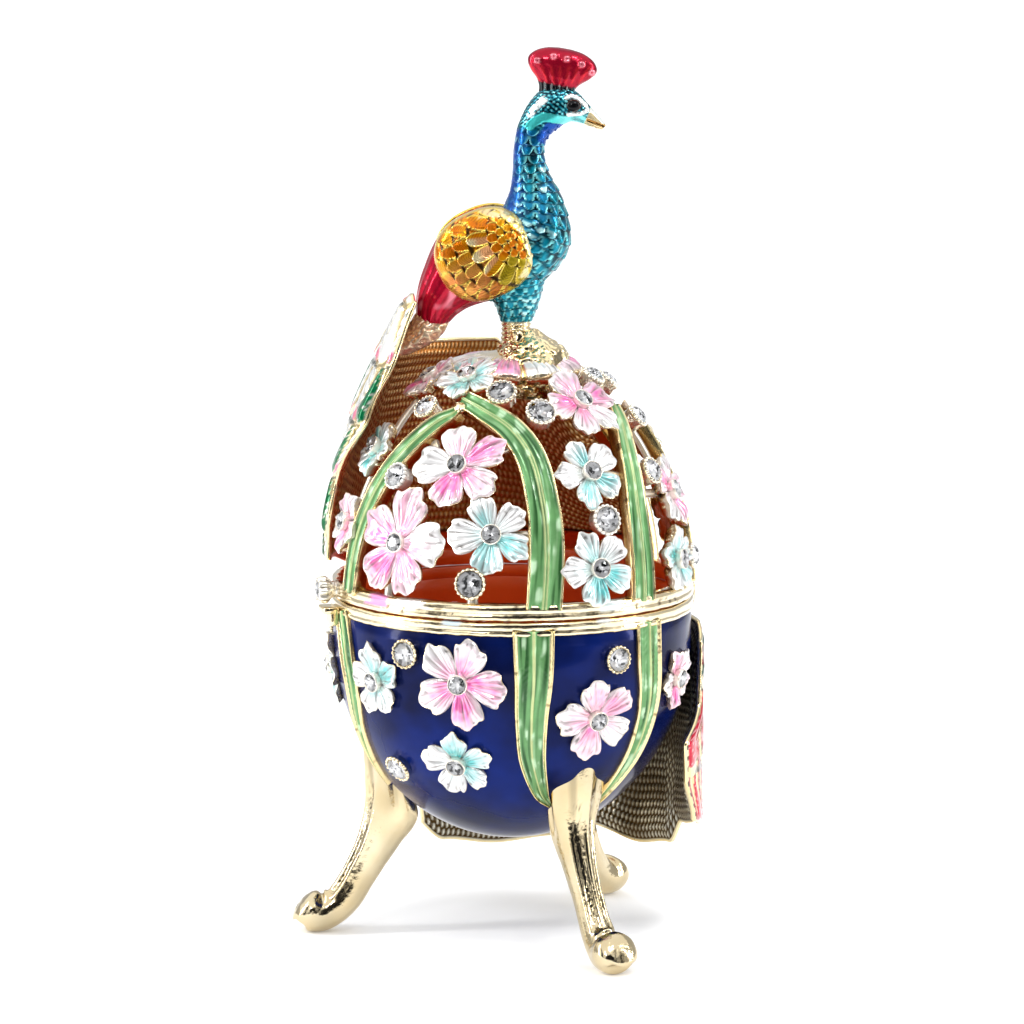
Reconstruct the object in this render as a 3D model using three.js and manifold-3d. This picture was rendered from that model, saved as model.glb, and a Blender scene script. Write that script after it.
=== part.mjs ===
import * as THREE from 'three';
import { mergeVertices } from 'three/addons/utils/BufferGeometryUtils.js';
import Module from 'manifold-3d';

// A jewelled egg trinket box: a bowl on three legs, a hinged openwork lid, a peacock standing on the lid,
// and its train, whose upper half walls the back of the lid and whose lower half hangs behind the bowl.
// Millimetres, +Z up. Azimuths are degrees about the egg's axis, from +X towards +Y; the front faces 270.

// The egg
const eggAxisX = 2.4; // the egg's axis, from the middle of the whole object's box
const eggAxisY = 0;
const rimRadius = 30;
const seamHeight = 58.5;
const lidRise = 40.5; // rim to apex
const bellyHeight = 52; // the bowl is upright above this height and rounds in below it
const bowlDrop = 35; // belly to the bottom of the bowl
const bowlWall = 2.1;
const bandReach = 0.4; // the two gold bands at the seam, standing out from the egg
const bandHeight = 2.4;
const seamGap = 0.3; // also the room between any two pieces that touch
const eggSides = 28;

// Enamelled relief on the egg
const ribbonRelief = 0.5;
const lidThickness = 1.5;
const heartReach = 0.24; // the round heart of a flower, as a share of its size
const heartLift = 0.9;
const petalEdge = [[0, 0.52, 0.35], [16, 0.97, 1.15], [56, 0.97, 1.15]]; // turn, reach, lift
const petalRoot = 0.72; // reach of the point that each petal springs from, under the skin
const colletLift = 1.3; // the rim of a stone's setting above the skin
const colletPocket = 0.2;
const colletRim = 0.4;

// The peacock and its train
const trainThickness = 1.5;
const quillRelief = 0.3;
const eyeRelief = 0.5;
const upperTrainRadius = 31; // outside, at the rim of the lid
const upperTrainDrawIn = 13.2; // how far it narrows on its way up to the rump
const lowerTrainRadius = 31.9;

// Hinge and clasp
const hingeAzimuth = 16;
const claspAzimuth = 196;
const hingeRadius = 30.4; // the pin's distance from the egg's axis
const knuckleRadius = 1.05;
const knuckleBore = 0.7;
const pinRadius = 0.36;
const hingeHalfLength = 2.7;
const slotHalfLength = 3.3;

const wasm = await Module();
wasm.setup();
const rad = THREE.MathUtils.degToRad;
const lerp = THREE.MathUtils.lerp;
const vec = (x, y, z) => new THREE.Vector3(x, y, z);

// Solids

// A solid from a closed geometry, with its faces turned out.
function toSolid(geometry) {
  const bare = geometry.clone();
  bare.deleteAttribute('normal');
  bare.deleteAttribute('uv');
  const merged = mergeVertices(bare, 1e-4);
  const points = merged.attributes.position.array;
  const corners = new Uint32Array(merged.index.array);
  const point = (corner) => new THREE.Vector3().fromArray(points, 3 * corners[corner]);
  let volume = 0;
  for (let face = 0; face < corners.length; face += 3) {
    volume += point(face).dot(point(face + 1).cross(point(face + 2)));
  }
  if (volume < 0) corners.reverse();
  const triVerts = corners.filter((_, corner) => {
    const [a, b, c] = corners.subarray(corner - corner % 3, corner - corner % 3 + 3);
    return a !== b && b !== c && c !== a;
  });
  return new wasm.Manifold(new wasm.Mesh({ numProp: 3, vertProperties: new Float32Array(points), triVerts }));
}

function toGeometry(solid) {
  const mesh = solid.getMesh();
  const geometry = new THREE.BufferGeometry();
  geometry.setAttribute('position', new THREE.BufferAttribute(mesh.vertProperties, 3));
  geometry.setIndex(new THREE.BufferAttribute(mesh.triVerts, 1));
  geometry.computeVertexNormals();
  return geometry;
}

function pointSolid(points, faces) {
  const geometry = new THREE.BufferGeometry().setFromPoints(points);
  return toSolid(geometry.setIndex(faces.flat()));
}

// Joins rings of the same number of points one after another, and closes both ends with a fan.
function loft(rings) {
  const sides = rings[0].length;
  const points = rings.flat();
  const faces = [];
  for (let ring = 0; ring + 1 < rings.length; ring++) {
    for (let side = 0; side < sides; side++) {
      const a = ring * sides + side;
      const b = ring * sides + (side + 1) % sides;
      faces.push([a, b, b + sides], [a, b + sides, a + sides]);
    }
  }
  for (const [end, first] of [[rings[0], 0], [rings.at(-1), points.length - sides]]) {
    const middle = end.reduce((sum, p) => sum.add(p), vec(0, 0, 0)).divideScalar(sides);
    const hub = points.push(middle) - 1;
    for (let side = 0; side < sides; side++) {
      const a = first + side;
      const b = first + (side + 1) % sides;
      faces.push(first === 0 ? [hub, b, a] : [hub, a, b]);
    }
  }
  return pointSolid(points, faces);
}

function turned(profile, sides = eggSides) {
  const geometry = new THREE.LatheGeometry(profile.map(([r, z]) => new THREE.Vector2(r, z)), sides);
  return geometry.rotateX(Math.PI / 2);
}

const join = (solids) => solids.reduce((sum, solid) => sum.add(solid));

// The egg's skin

function radiusAt(height) {
  if (height > bellyHeight && height < seamHeight) return rimRadius;
  const [level, reach] = height < seamHeight ? [bellyHeight, bowlDrop] : [seamHeight, lidRise];
  return rimRadius * Math.sqrt(Math.max(0, 1 - ((height - level) / reach) ** 2));
}

// Carries a point straight out from the egg's middle to its skin, and then lifts it off along the normal.
function drape(point, lift) {
  const { x, y, z } = point;
  if (z > bellyHeight && z < seamHeight) {
    const out = (rimRadius + lift) / Math.hypot(x, y);
    return vec(x * out, y * out, z);
  }
  const [level, reach] = z < seamHeight ? [bellyHeight, bowlDrop] : [seamHeight, lidRise];
  const scale = 1 / Math.hypot(x / rimRadius, y / rimRadius, (z - level) / reach);
  const rise = (z - level) * scale;
  const normal = vec(x * scale / rimRadius ** 2, y * scale / rimRadius ** 2, rise / reach ** 2);
  return vec(x * scale, y * scale, level + rise).addScaledVector(normal.normalize(), lift);
}

function skin(azimuth, height, lift = 0) {
  const radius = Math.max(radiusAt(height), 0.01);
  return drape(vec(radius * Math.cos(rad(azimuth)), radius * Math.sin(rad(azimuth)), height), lift);
}

// A place on the skin with its normal, and the directions along the skin to the right and up.
function seat(azimuth, height) {
  const base = skin(azimuth, height);
  const normal = skin(azimuth, height, 1).sub(base).normalize();
  const east = vec(-Math.sin(rad(azimuth)), Math.cos(rad(azimuth)), 0);
  const north = normal.clone().cross(east).normalize();
  return { base, normal, east, north };
}

// The outline of the egg offset by a lift, over a range of angles that are negative for the bowl.
function eggProfile(from, to, steps, lift) {
  const [level, reach] = from + to < 0 ? [bellyHeight, bowlDrop] : [seamHeight, lidRise];
  return Array.from({ length: steps + 1 }, (_, step) => {
    const angle = lerp(from, to, step / steps);
    return [(rimRadius + lift) * Math.cos(rad(angle)), level + (reach + lift) * Math.sin(rad(angle))];
  });
}

// Relief

// Five petals, each with a notch beside it and two raised shoulders, round a flat heart.
function flower({ azimuth, height, size, turn = 0 }, sink) {
  const { base, east, north } = seat(azimuth, height);
  const at = (angle, reach, lift) => drape(base.clone()
    .addScaledVector(east, size * reach * Math.cos(rad(angle)))
    .addScaledVector(north, size * reach * Math.sin(rad(angle))), lift);
  const petals = 5;
  const perPetal = petalEdge.length + 2;
  const points = [];
  const faces = [];
  const middle = petals * perPetal;
  for (let petal = 0; petal < petals; petal++) {
    const start = turn + 360 / petals * petal;
    for (const [onward, reach, lift] of petalEdge) points.push(at(start + onward, reach, lift));
    points.push(at(start, heartReach, heartLift), at(start + 36, petalRoot, -sink));
    const [notch, near, far, heart, root] = [0, 1, 2, 3, 4].map((corner) => petal * perPetal + corner);
    const [nextNotch, , , nextHeart, nextRoot] = [0, 1, 2, 3, 4]
      .map((corner) => (petal + 1) % petals * perPetal + corner);
    faces.push([heart, notch, near], [heart, near, far], [heart, far, nextHeart], [nextHeart, far, nextNotch]);
    faces.push([notch, root, near], [near, root, far], [far, root, nextNotch], [nextNotch, root, nextRoot]);
    faces.push([middle, heart, nextHeart], [middle + 1, nextRoot, root]);
  }
  points.push(at(0, 0, heartLift), at(0, 0, -sink));
  return pointSolid(points, faces);
}

function onSeat(geometry, { azimuth, height }) {
  const { base, normal } = seat(azimuth, height);
  const turn = new THREE.Quaternion().setFromUnitVectors(vec(0, 0, 1), normal);
  return geometry.applyQuaternion(turn).translate(base.x, base.y, base.z);
}

// A round cup that holds a stone.
function collet(place, sink) {
  const { size } = place;
  const cup = turned([[0, -sink], [size * 1.1, -sink], [size, colletLift],
    [size - colletRim, colletLift], [size - colletRim - 0.2, colletPocket], [0, colletPocket]], 7);
  return toSolid(onSeat(cup, place));
}

// A brilliant-cut stone: a point below, a girdle and a flat table, raised to the lift of its own seat.
function stone(place, lift, size) {
  const depth = size * 0.55;
  const cut = turned([[0, lift], [size, lift + depth], [size * 0.6, lift + depth + size * 0.4],
    [0, lift + depth + size * 0.4]], size > 1.5 ? 8 : 6);
  return toSolid(onSeat(cut, place));
}

// A leaf-green band along the skin: its section is a low trapezium whose width follows the route.
function ribbon(route, sink, steps) {
  const path = new THREE.CatmullRomCurve3(route.map(([azimuth, height, width]) => vec(azimuth, height, width)));
  const rings = Array.from({ length: steps + 1 }, (_, step) => {
    const here = path.getPoint(step / steps);
    const before = path.getPoint(Math.max(0, step / steps - 0.01));
    const after = path.getPoint(Math.min(1, step / steps + 0.01));
    const along = skin(after.x, after.y).sub(skin(before.x, before.y)).normalize();
    const { base, normal } = seat(here.x, here.y);
    const side = normal.cross(along);
    const at = (share, lift) => drape(base.clone().addScaledVector(side, share * here.z / 2), lift);
    return [at(-0.9, -sink), at(0.9, -sink), at(1, ribbonRelief), at(-1, ribbonRelief)];
  });
  return loft(rings);
}

// Bowl

const bowlRibbons = [
  [[276.6, 57, 7], [276.7, 49, 6.4], [276.3, 42, 5.4], [277, 35, 4.2], [281.5, 28.5, 2]],
  [[317.5, 57, 5.6], [318.1, 50.5, 5.6], [320.1, 42, 5], [319.6, 34, 3.8], [313.8, 25.7, 1.6]],
  [[201.6, 57, 5], [205.6, 50.5, 5], [207, 44, 4.4], [203, 36, 3.2], [199, 30, 1.6]],
  [[156, 57, 5], [154, 50.5, 5], [152, 42, 4.4], [154, 34, 3.2], [159, 27.5, 1.6]],
];
const bowlFlowers = [
  { azimuth: 253.4, height: 48.2, size: 7.3, turn: 54 },
  { azimuth: 221.7, height: 46.9, size: 5.6, turn: 20 },
  { azimuth: 250, height: 34.1, size: 5.7, turn: 60 },
  { azimuth: 298.3, height: 41.8, size: 6.8, turn: 40 },
  { azimuth: 335.5, height: 46.2, size: 5, turn: 10 },
  { azimuth: 181, height: 46.2, size: 6, turn: 30 },
];
const bowlCollets = [
  { azimuth: 235.6, height: 52.4, size: 2.4 },
  { azimuth: 222.7, height: 32.2, size: 2.4 },
  { azimuth: 304, height: 51.6, size: 2.3 },
  { azimuth: 166.5, height: 51, size: 2.2 },
];

const bandFoot = seamHeight - bandHeight;
const bowlTop = seamHeight - seamGap / 2;
const bowlInside = rimRadius - bowlWall;

function bowlSolid() {
  const outside = eggProfile(-90, 0, 8, 0);
  const inside = eggProfile(0, -90, 4, -bowlWall);
  const shell = toSolid(turned([...outside, [rimRadius, bandFoot], [rimRadius + bandReach, bandFoot + 0.4],
    [rimRadius + bandReach, bowlTop], [bowlInside, bowlTop], ...inside]));
  return join([shell, ...bowlRibbons.map((route) => ribbon(route, 0.6, 5)),
    ...bowlFlowers.map((place) => flower(place, 0.5)), ...bowlCollets.map((place) => collet(place, 0.5))]);
}

// The egg's whole outline below the seam, swollen by a little room, for trimming what stands against it.
function bowlRoom(room) {
  return toSolid(turned([...eggProfile(-90, 0, 8, room), [rimRadius + room, bandFoot], [0, bandFoot]]));
}

// Legs

const legStations = [ // distance from the axis, height, half thickness, half width, lean of the section
  [20.6, 27.4, 6.4, 4, 48],
  [20.2, 21.6, 4.9, 3.2, 32],
  [22.2, 16.2, 3.5, 2.7, 22],
  [25.2, 10.6, 2.8, 2.4, 28],
  [28, 6, 2.8, 2.6, 44],
  [31, 3.3, 2.9, 3, 80],
  [33.6, 3.6, 3.4, 3.4, 100],
];
const kneeFlute = 0.84; // every other edge of the section is drawn in
const toeRadius = 3.9;

function leg(azimuth, bowlTrim) {
  const sides = 8;
  const rings = legStations.map(([out, up, thick, wide, lean], station) => {
    const across = vec(Math.cos(rad(lean)), 0, Math.sin(rad(lean)));
    return Array.from({ length: sides }, (_, side) => {
      const angle = 2 * Math.PI * side / sides;
      const draw = side % 2 && station < 4 ? kneeFlute : 1;
      return vec(out, 0, up)
        .addScaledVector(across, thick * draw * Math.cos(angle))
        .add(vec(0, wide * draw * Math.sin(angle), 0));
    });
  });
  const toe = new THREE.SphereGeometry(toeRadius, 8, 5).rotateX(Math.PI / 2).translate(33.7, 0, 3.6);
  const floor = new THREE.BoxGeometry(60, 60, 10).translate(30, 0, -5);
  const whole = loft(rings).add(toSolid(toe)).subtract(toSolid(floor));
  return whole.rotate([0, 0, azimuth]).subtract(bowlTrim);
}

// Lid

const lidRibbons = [
  [[241, 90.6, 3], [230.7, 88.5, 3.6], [222, 84.6, 4], [214.6, 79, 4.2], [210, 71.5, 4.2], [207.6, 60.5, 4]],
  [[240, 92.6, 3.2], [254, 91.2, 3.8], [268.8, 88.6, 4.6], [277.4, 84.2, 5.2], [280.6, 77, 5.6],
    [281, 70, 6], [279.8, 60.5, 6]],
  [[335, 91, 3], [324.5, 85.2, 3.8], [318.9, 78.3, 4.4], [316.4, 71.5, 4.8], [315.2, 60.5, 5]],
  [[3, 88, 3], [2, 78, 4], [2, 60.5, 4.6]],
  [[50, 85, 3], [42, 75, 4], [39, 60.5, 4.6]],
];
const lidFlowers = [
  { azimuth: 248.7, height: 82.8, size: 7.2, turn: 0 },
  { azimuth: 230.2, height: 70.1, size: 8.6, turn: 30 },
  { azimuth: 263.2, height: 72.4, size: 6.3, turn: 10 },
  { azimuth: 311, height: 92, size: 6.8, turn: 24 },
  { azimuth: 300.4, height: 81.6, size: 5.8, turn: 50 },
  { azimuth: 298.1, height: 66.7, size: 6.2, turn: 60 },
  { azimuth: 233, height: 95.6, size: 5.4, turn: 20 },
  { azimuth: 345, height: 76.6, size: 6.2, turn: 36 },
  { azimuth: 337, height: 65.9, size: 5.4, turn: 54 },
  { azimuth: 190, height: 94.6, size: 5, turn: 8 },
  { azimuth: 199, height: 83.6, size: 4.8, turn: 40 },
  { azimuth: 197.5, height: 71.4, size: 5.2, turn: 18 },
  { azimuth: 21, height: 70, size: 6.4, turn: 54 },
  { azimuth: 25, height: 84, size: 6.2, turn: 0 },
  { azimuth: 60, height: 94.4, size: 5.8, turn: 12 },
];
const lidCollets = [
  { azimuth: 257.1, height: 64.4, size: 2.8 },
  { azimuth: 223.4, height: 80.2, size: 2.3 },
  { azimuth: 221.3, height: 90.6, size: 2.2 },
  { azimuth: 263.3, height: 93.4, size: 2.6 },
  { azimuth: 284, height: 90.6, size: 2.6 },
  { azimuth: 302.4, height: 74.1, size: 2.7 },
  { azimuth: 331.5, height: 80.4, size: 2.4 },
  { azimuth: 342.6, height: 94.7, size: 2 },
  { azimuth: 348, height: 88.2, size: 2.2 },
  { azimuth: 350, height: 65.4, size: 2.2 },
  { azimuth: 14, height: 93, size: 2.2 },
];
// Short gold stems where two castings stand apart, each from one place on the skin to another.
const lidStems = [
  [[226, 68, 1.8], [225, 60.5, 1.8]],
  [[266, 72.4, 1.6], [277, 72.6, 1.6]],
  [[238, 84, 1.6], [229, 87.6, 1.6]],
  [[260, 83.6, 1.6], [277, 84.2, 1.6]],
  [[221.3, 90.6, 1.6], [231, 88.4, 1.6]],
  [[257, 63, 2], [257, 60.5, 2]],
  [[298, 63, 1.6], [298, 60.5, 1.6]],
  [[337, 65, 1.8], [337, 60.5, 1.8]],
  [[197.5, 69, 1.6], [198, 60.5, 1.6]],
  [[197.5, 74, 1.6], [198.5, 82, 1.6]],
  [[198, 86, 1.6], [192, 92, 1.6]],
  [[21, 66, 1.6], [21, 60.5, 1.6]],
  [[22, 74, 1.6], [24, 80, 1.6]],
  [[289, 66.7, 1.6], [282, 66.7, 1.6]],
  [[308, 81.6, 1.6], [321, 80.6, 1.6]],
  [[320, 78, 1.6], [340, 77, 1.6]],
  [[320, 92.6, 1.6], [342.6, 94.7, 1.6]],
  [[342.6, 94.7, 1.6], [374, 93, 1.6]],
  [[348, 90, 1.6], [345, 79, 1.6]],
  [[374, 93, 1.6], [395, 94, 1.6]],
];
const crownReach = 68; // the plain cap under the peacock, in degrees of the lid's outline

const lidFoot = seamHeight + seamGap / 2;
const lidBandTop = seamHeight + bandHeight + 0.4;

function lidSolid() {
  const band = toSolid(turned([[bowlInside, lidFoot], [rimRadius + bandReach, lidFoot],
    [rimRadius + 0.1, lidBandTop], [bowlInside, lidBandTop], [bowlInside, lidFoot]]));
  const crown = toSolid(turned([...eggProfile(90, crownReach, 2, 0.3),
    ...eggProfile(crownReach, 90, 2, -lidThickness)], 12));
  return join([band, crown, ...lidRibbons.map((route) => ribbon(route, lidThickness, 7)),
    ...lidFlowers.map((place) => flower(place, lidThickness * 0.7)),
    ...lidCollets.map((place) => collet(place, lidThickness * 0.7)),
    ...lidStems.map((route) => ribbon(route, lidThickness, 1))]);
}

// Train

// A curved wall between two edges: each column runs from a low to a high place on the wall's outside, a
// quill stands out on every other column and swells into an eye on every other row, and the inside follows
// at the train's thickness.
function trainWall(columns, rows, edges, radius) {
  const outer = [];
  const inner = [];
  for (let column = 0; column <= columns; column++) {
    for (let row = 0; row <= rows; row++) {
      const [azimuth, height] = edges(column / columns, row / rows);
      const eye = (row + (column >> 1)) % 2 && row > 0 && row < rows ? eyeRelief : 0;
      const quill = column % 2 ? quillRelief + eye : 0;
      const at = (out) => vec(out * Math.cos(rad(azimuth)), out * Math.sin(rad(azimuth)), height);
      outer.push(at(radius(height) + quill));
      inner.push(at(radius(height) - trainThickness));
    }
  }
  const points = [...outer, ...inner];
  const across = rows + 1;
  const faces = [];
  for (let column = 0; column < columns; column++) {
    for (let row = 0; row < rows; row++) {
      const a = column * across + row;
      const b = a + across;
      const inside = outer.length;
      faces.push([a, b, b + 1], [a, b + 1, a + 1]);
      faces.push([a + inside, b + 1 + inside, b + inside], [a + inside, a + 1 + inside, b + 1 + inside]);
    }
  }
  const rim = [];
  for (let column = 0; column < columns; column++) rim.push(column * across);
  for (let row = 0; row < rows; row++) rim.push(columns * across + row);
  for (let column = columns; column > 0; column--) rim.push(column * across + rows);
  for (let row = rows; row > 0; row--) rim.push(row);
  rim.forEach((a, step) => {
    const b = rim[(step + 1) % rim.length];
    faces.push([a, a + outer.length, b + outer.length], [a, b + outer.length, b]);
  });
  return pointSolid(points, faces);
}

// A smooth line through a few stops, given as [place, value] pairs.
function through(stops, place) {
  const next = Math.max(1, stops.findIndex(([stop]) => stop >= place));
  const [[from, low], [to, high]] = [stops[next - 1], stops[next]];
  return lerp(low, high, THREE.MathUtils.smoothstep(place, from, to));
}

const upperTrainTop = [[40, 74], [62, 82], [88, 95], [100, 98.5], [150, 99], [160, 103], [176, 107], [215, 107]];
const upperTrainFoot = [[40, 61.8], [150, 61.8], [172, 64], [215, 66.5]];
const upperTrainRight = 49;
const upperTrainLeft = [[0, 184], [0.28, 186], [0.55, 204], [0.8, 209], [1, 204]];
const neckColumn = [[-20.4, 94.5, 3], [-17.4, 98.6, 3.6], [-14.6, 101.4, 3.9], [-14, 103.2, 3.9]]; // x, z, half

function upperTrain() {
  const radius = (height) => {
    const up = Math.max(0, (height - 68) / 40);
    return upperTrainRadius - upperTrainDrawIn * up ** 1.6;
  };
  const edges = (share, up) => {
    const azimuth = lerp(upperTrainRight, through(upperTrainLeft, up), share);
    const scallop = up === 1 ? 0.7 * Math.cos(share * 20 * Math.PI) : 0;
    return [azimuth, lerp(through(upperTrainFoot, azimuth), through(upperTrainTop, azimuth), up) + scallop];
  };
  const wall = trainWall(20, 6, edges, radius);
  const neck = loft(neckColumn.map(([x, z, half]) => Array.from({ length: 8 }, (_, side) => {
    const angle = 2 * Math.PI * side / 8;
    return vec(x + half * Math.cos(angle), half * 0.8 * Math.sin(angle), z);
  })));
  return wall.add(neck);
}

const lowerTrainTop = [[-30, 47], [-4, 50.6], [8, 53], [180, 53]];
const lowerTrainFoot = [[-30, 23], [-6, 20], [2, 18.5], [22, 16.5], [30, 12], [46, 10.6], [66, 12.6], [73, 10],
  [96, 8.4], [112, 9.4], [124, 14], [160, 17]];
const lowerTrainRight = [[0, -16], [0.25, -24], [0.5, -25], [0.68, -9], [1, -5]];
const lowerTrainLeft = [[0, 120], [0.4, 126], [0.7, 132], [1, 134]];

function lowerTrain() {
  const edges = (share, up) => {
    const azimuth = lerp(through(lowerTrainRight, up), through(lowerTrainLeft, up), share);
    return [azimuth, lerp(through(lowerTrainFoot, azimuth), through(lowerTrainTop, azimuth), up)];
  };
  return trainWall(22, 5, edges, () => lowerTrainRadius);
}

// Peacock

const spine = [ // x, z, half depth, half width, direction of the spine
  [-15.6, 105.6, 1.2, 1.4, 48],
  [-14.1, 107.1, 3, 2.8, 44],
  [-11.4, 109.8, 5, 4.6, 40],
  [-7.4, 113.2, 7.3, 6, 36],
  [-1.6, 116, 8, 6.4, 34],
  [3.4, 119.4, 6.6, 5.6, 62],
  [3.6, 124.6, 4.5, 4, 86],
  [2.8, 128.6, 3, 2.9, 94],
  [2.5, 132.4, 2.5, 2.5, 90],
  [3.5, 136.2, 2.7, 2.5, 64],
  [6.2, 139.4, 3.4, 2.8, 26],
  [9.3, 139.8, 2.7, 2.3, -6],
  [11.5, 138.6, 1.5, 1.3, -34],
  [14.6, 136.5, 0.4, 0.4, -40],
];
const thigh = [[0.4, 109.5, 4.6, 4], [1, 106.2, 3.2, 3], [1.2, 103.4, 2.5, 2.1], [1.6, 100, 2.8, 2.6]];
const rock = [[3, 92, 7, 9.6], [3.1, 97, 6.4, 8.4], [3.3, 99.8, 5.6, 5.8], [3.4, 101.4, 4.4, 3.8],
  [2.4, 102.8, 2.8, 2.4]]; // x, z, half length, half width
const crest = [[7.9, 142, 3, 1.3], [8, 144.6, 4.6, 1.7], [8, 146.9, 6, 1.9], [8, 148.6, 5.3, 1.5],
  [8, 149.6, 2.8, 0.8]]; // x, z, half length, half width
const crestTilt = -10;
const wingCentre = vec(-4.6, 0, 115.4);
const wingLength = 8.2;
const wingDepth = 7;
const wingTilt = 24;

const ellipse = (sides, along, across) => Array.from({ length: sides }, (_, side) => {
  const angle = 2 * Math.PI * side / sides;
  return [along * Math.cos(angle), across * Math.sin(angle)];
});

function peacock() {
  const body = loft(spine.map(([x, z, depth, width, direction]) => {
    const up = vec(-Math.sin(rad(direction)), 0, Math.cos(rad(direction)));
    return ellipse(10, depth, width).map(([a, b]) => vec(x, b, z).addScaledVector(up, a));
  }));
  const legs = loft(thigh.map(([x, z, along, across]) => (
    ellipse(8, along, across).map(([a, b]) => vec(x + a, b, z)))));
  const perch = loft(rock.map(([x, z, along, across], level) => ellipse(9, along, across).map(([a, b], side) => {
    const rough = 1 + 0.08 * Math.sin(5 * side + 2 * level);
    return vec(x + a * rough, b * rough, z);
  })));
  const comb = loft(crest.map(([x, z, along, across]) => ellipse(10, along, across).map(([a, b]) => (
    vec(a, b, z - crest[0][1]).applyAxisAngle(vec(0, 1, 0), -rad(crestTilt)).add(vec(x, 0, crest[0][1]))))));
  const wings = [-1, 1].map((side) => loft([[3, 1], [7, 1], [8.1, 0.62]].map(([out, share]) => (
    ellipse(14, wingLength * share, wingDepth * share).map(([a, b], tip) => {
      const notch = tip % 2 ? 1 : 0.93;
      return vec(a * notch, side * out, b * notch).applyAxisAngle(vec(0, 1, 0), -rad(wingTilt)).add(wingCentre);
    })))));
  const lidRoom = toSolid(turned([[0, seamHeight], ...eggProfile(0, 90, 12, 0.3 + seamGap)], 20));
  return join([body, legs, perch, comb, ...wings]).subtract(lidRoom);
}

// Hinge and clasp, made at azimuth 0 and turned into place

const turnTo = (solid, azimuth) => solid.rotate([0, 0, azimuth]);

function block(outFrom, outTo, halfWidth, low, high) {
  return toSolid(new THREE.BoxGeometry(outTo - outFrom, 2 * halfWidth, high - low)
    .translate((outFrom + outTo) / 2, 0, (low + high) / 2));
}

function rod(radius, from, to) {
  return toSolid(new THREE.CylinderGeometry(radius, radius, to - from, 6)
    .translate(hingeRadius, (from + to) / 2, 0).translate(0, 0, seamHeight));
}

const strapFace = rimRadius + bandReach + seamGap;
const strapThickness = 0.7;
const knuckleRoom = 0.15;
const middleKnuckle = 1;

function bowlHinge() {
  const ends = [-1, 1].flatMap((side) => {
    const near = side * (middleKnuckle + 2 * knuckleRoom);
    const far = side * hingeHalfLength;
    const arm = block(strapFace, strapFace + strapThickness, 0.85, 56, seamHeight)
      .translate([0, (near + far) / 2, 0]);
    return [rod(knuckleRadius, Math.min(near, far), Math.max(near, far)), arm];
  });
  const plate = block(strapFace, strapFace + strapThickness, hingeHalfLength, 54.6, 56.8);
  const bore = rod(knuckleBore, -hingeHalfLength - 1, hingeHalfLength + 1);
  return turnTo(join([...ends, plate]).subtract(bore), hingeAzimuth);
}

function lidHinge() {
  const knuckle = rod(knuckleRadius, -middleKnuckle, middleKnuckle);
  const strap = block(strapFace, strapFace + strapThickness, middleKnuckle, seamHeight, 62.4);
  return turnTo(knuckle.add(strap).subtract(rod(knuckleBore, -5, 5)), hingeAzimuth);
}

const slot = (low, high) => turnTo(block(29, 34, slotHalfLength, low, high), hingeAzimuth);

const knobRadius = 2.3;
const knobLength = 3.2;
const knobHeight = 60.2;

function claspKnob() {
  const cup = turned([[0, 0], [1.5, 0], [knobRadius, 1.4], [knobRadius, knobLength],
    [knobRadius - 0.5, knobLength], [knobRadius - 0.8, knobLength - 0.9], [0, knobLength - 0.9]], 10);
  const knob = toSolid(cup.rotateY(Math.PI / 2).translate(strapFace, 0, knobHeight));
  return turnTo(knob, claspAzimuth);
}

function claspStone() {
  const lift = knobLength - 0.9 + seamGap;
  const cut = turned([[0, lift], [1.3, lift], [1.5, lift + 0.9], [0.9, lift + 1.4], [0, lift + 1.4]], 8);
  const gem = toSolid(cut.rotateY(Math.PI / 2).translate(strapFace, 0, knobHeight));
  return turnTo(gem, claspAzimuth);
}

function claspCatch() {
  const ledge = block(strapFace, strapFace + 2.4, 2.2, 56.3, 57.5);
  const bracket = block(strapFace, strapFace + 1.1, 1.6, 54.4, 57);
  return turnTo(ledge.add(bracket), claspAzimuth);
}

// Finishes

const finish = (color, roughness, metalness) => ({ color, roughness, metalness });
const navy = finish(0x16246b, 0.2, 0.3);
const gold = finish(0xd9c07a, 0.25, 0.9);
const petals = finish(0xf2b8d4, 0.3, 0.2);
const blue = finish(0x1f7f9b, 0.25, 0.5);
const emerald = finish(0x0f5a3c, 0.3, 0.4);
const crystal = finish(0xe8eef2, 0.05, 0.1);

// Assembly

const egg = new THREE.Group();
egg.position.set(eggAxisX, eggAxisY, 0);

function addPiece(name, solid, look) {
  const mesh = new THREE.Mesh(toGeometry(solid), new THREE.MeshStandardMaterial(look));
  mesh.name = name;
  egg.add(mesh);
}

addPiece('egg_bowl', bowlSolid().subtract(slot(57, 60)), navy);
const bowlTrim = bowlRoom(seamGap);
for (const [name, azimuth] of [['leg_left', 180], ['leg_front_right', 300], ['leg_back', 60]]) {
  addPiece(name, leg(azimuth, bowlTrim), gold);
}
addPiece('lower_train', lowerTrain(), emerald);
addPiece('egg_lid', lidSolid().subtract(slot(57, 60.2)), petals);
addPiece('upper_train', upperTrain(), emerald);
addPiece('peacock', peacock(), blue);
addPiece('hinge_leaf_bowl', bowlHinge(), gold);
addPiece('hinge_leaf_lid', lidHinge(), gold);
addPiece('hinge_pin', turnTo(rod(pinRadius, -hingeHalfLength - 0.3, hingeHalfLength + 0.3), hingeAzimuth), gold);
addPiece('clasp_catch', claspCatch(), gold);
addPiece('clasp_knob', claspKnob(), gold);
addPiece('clasp_stone', claspStone(), crystal);

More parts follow.
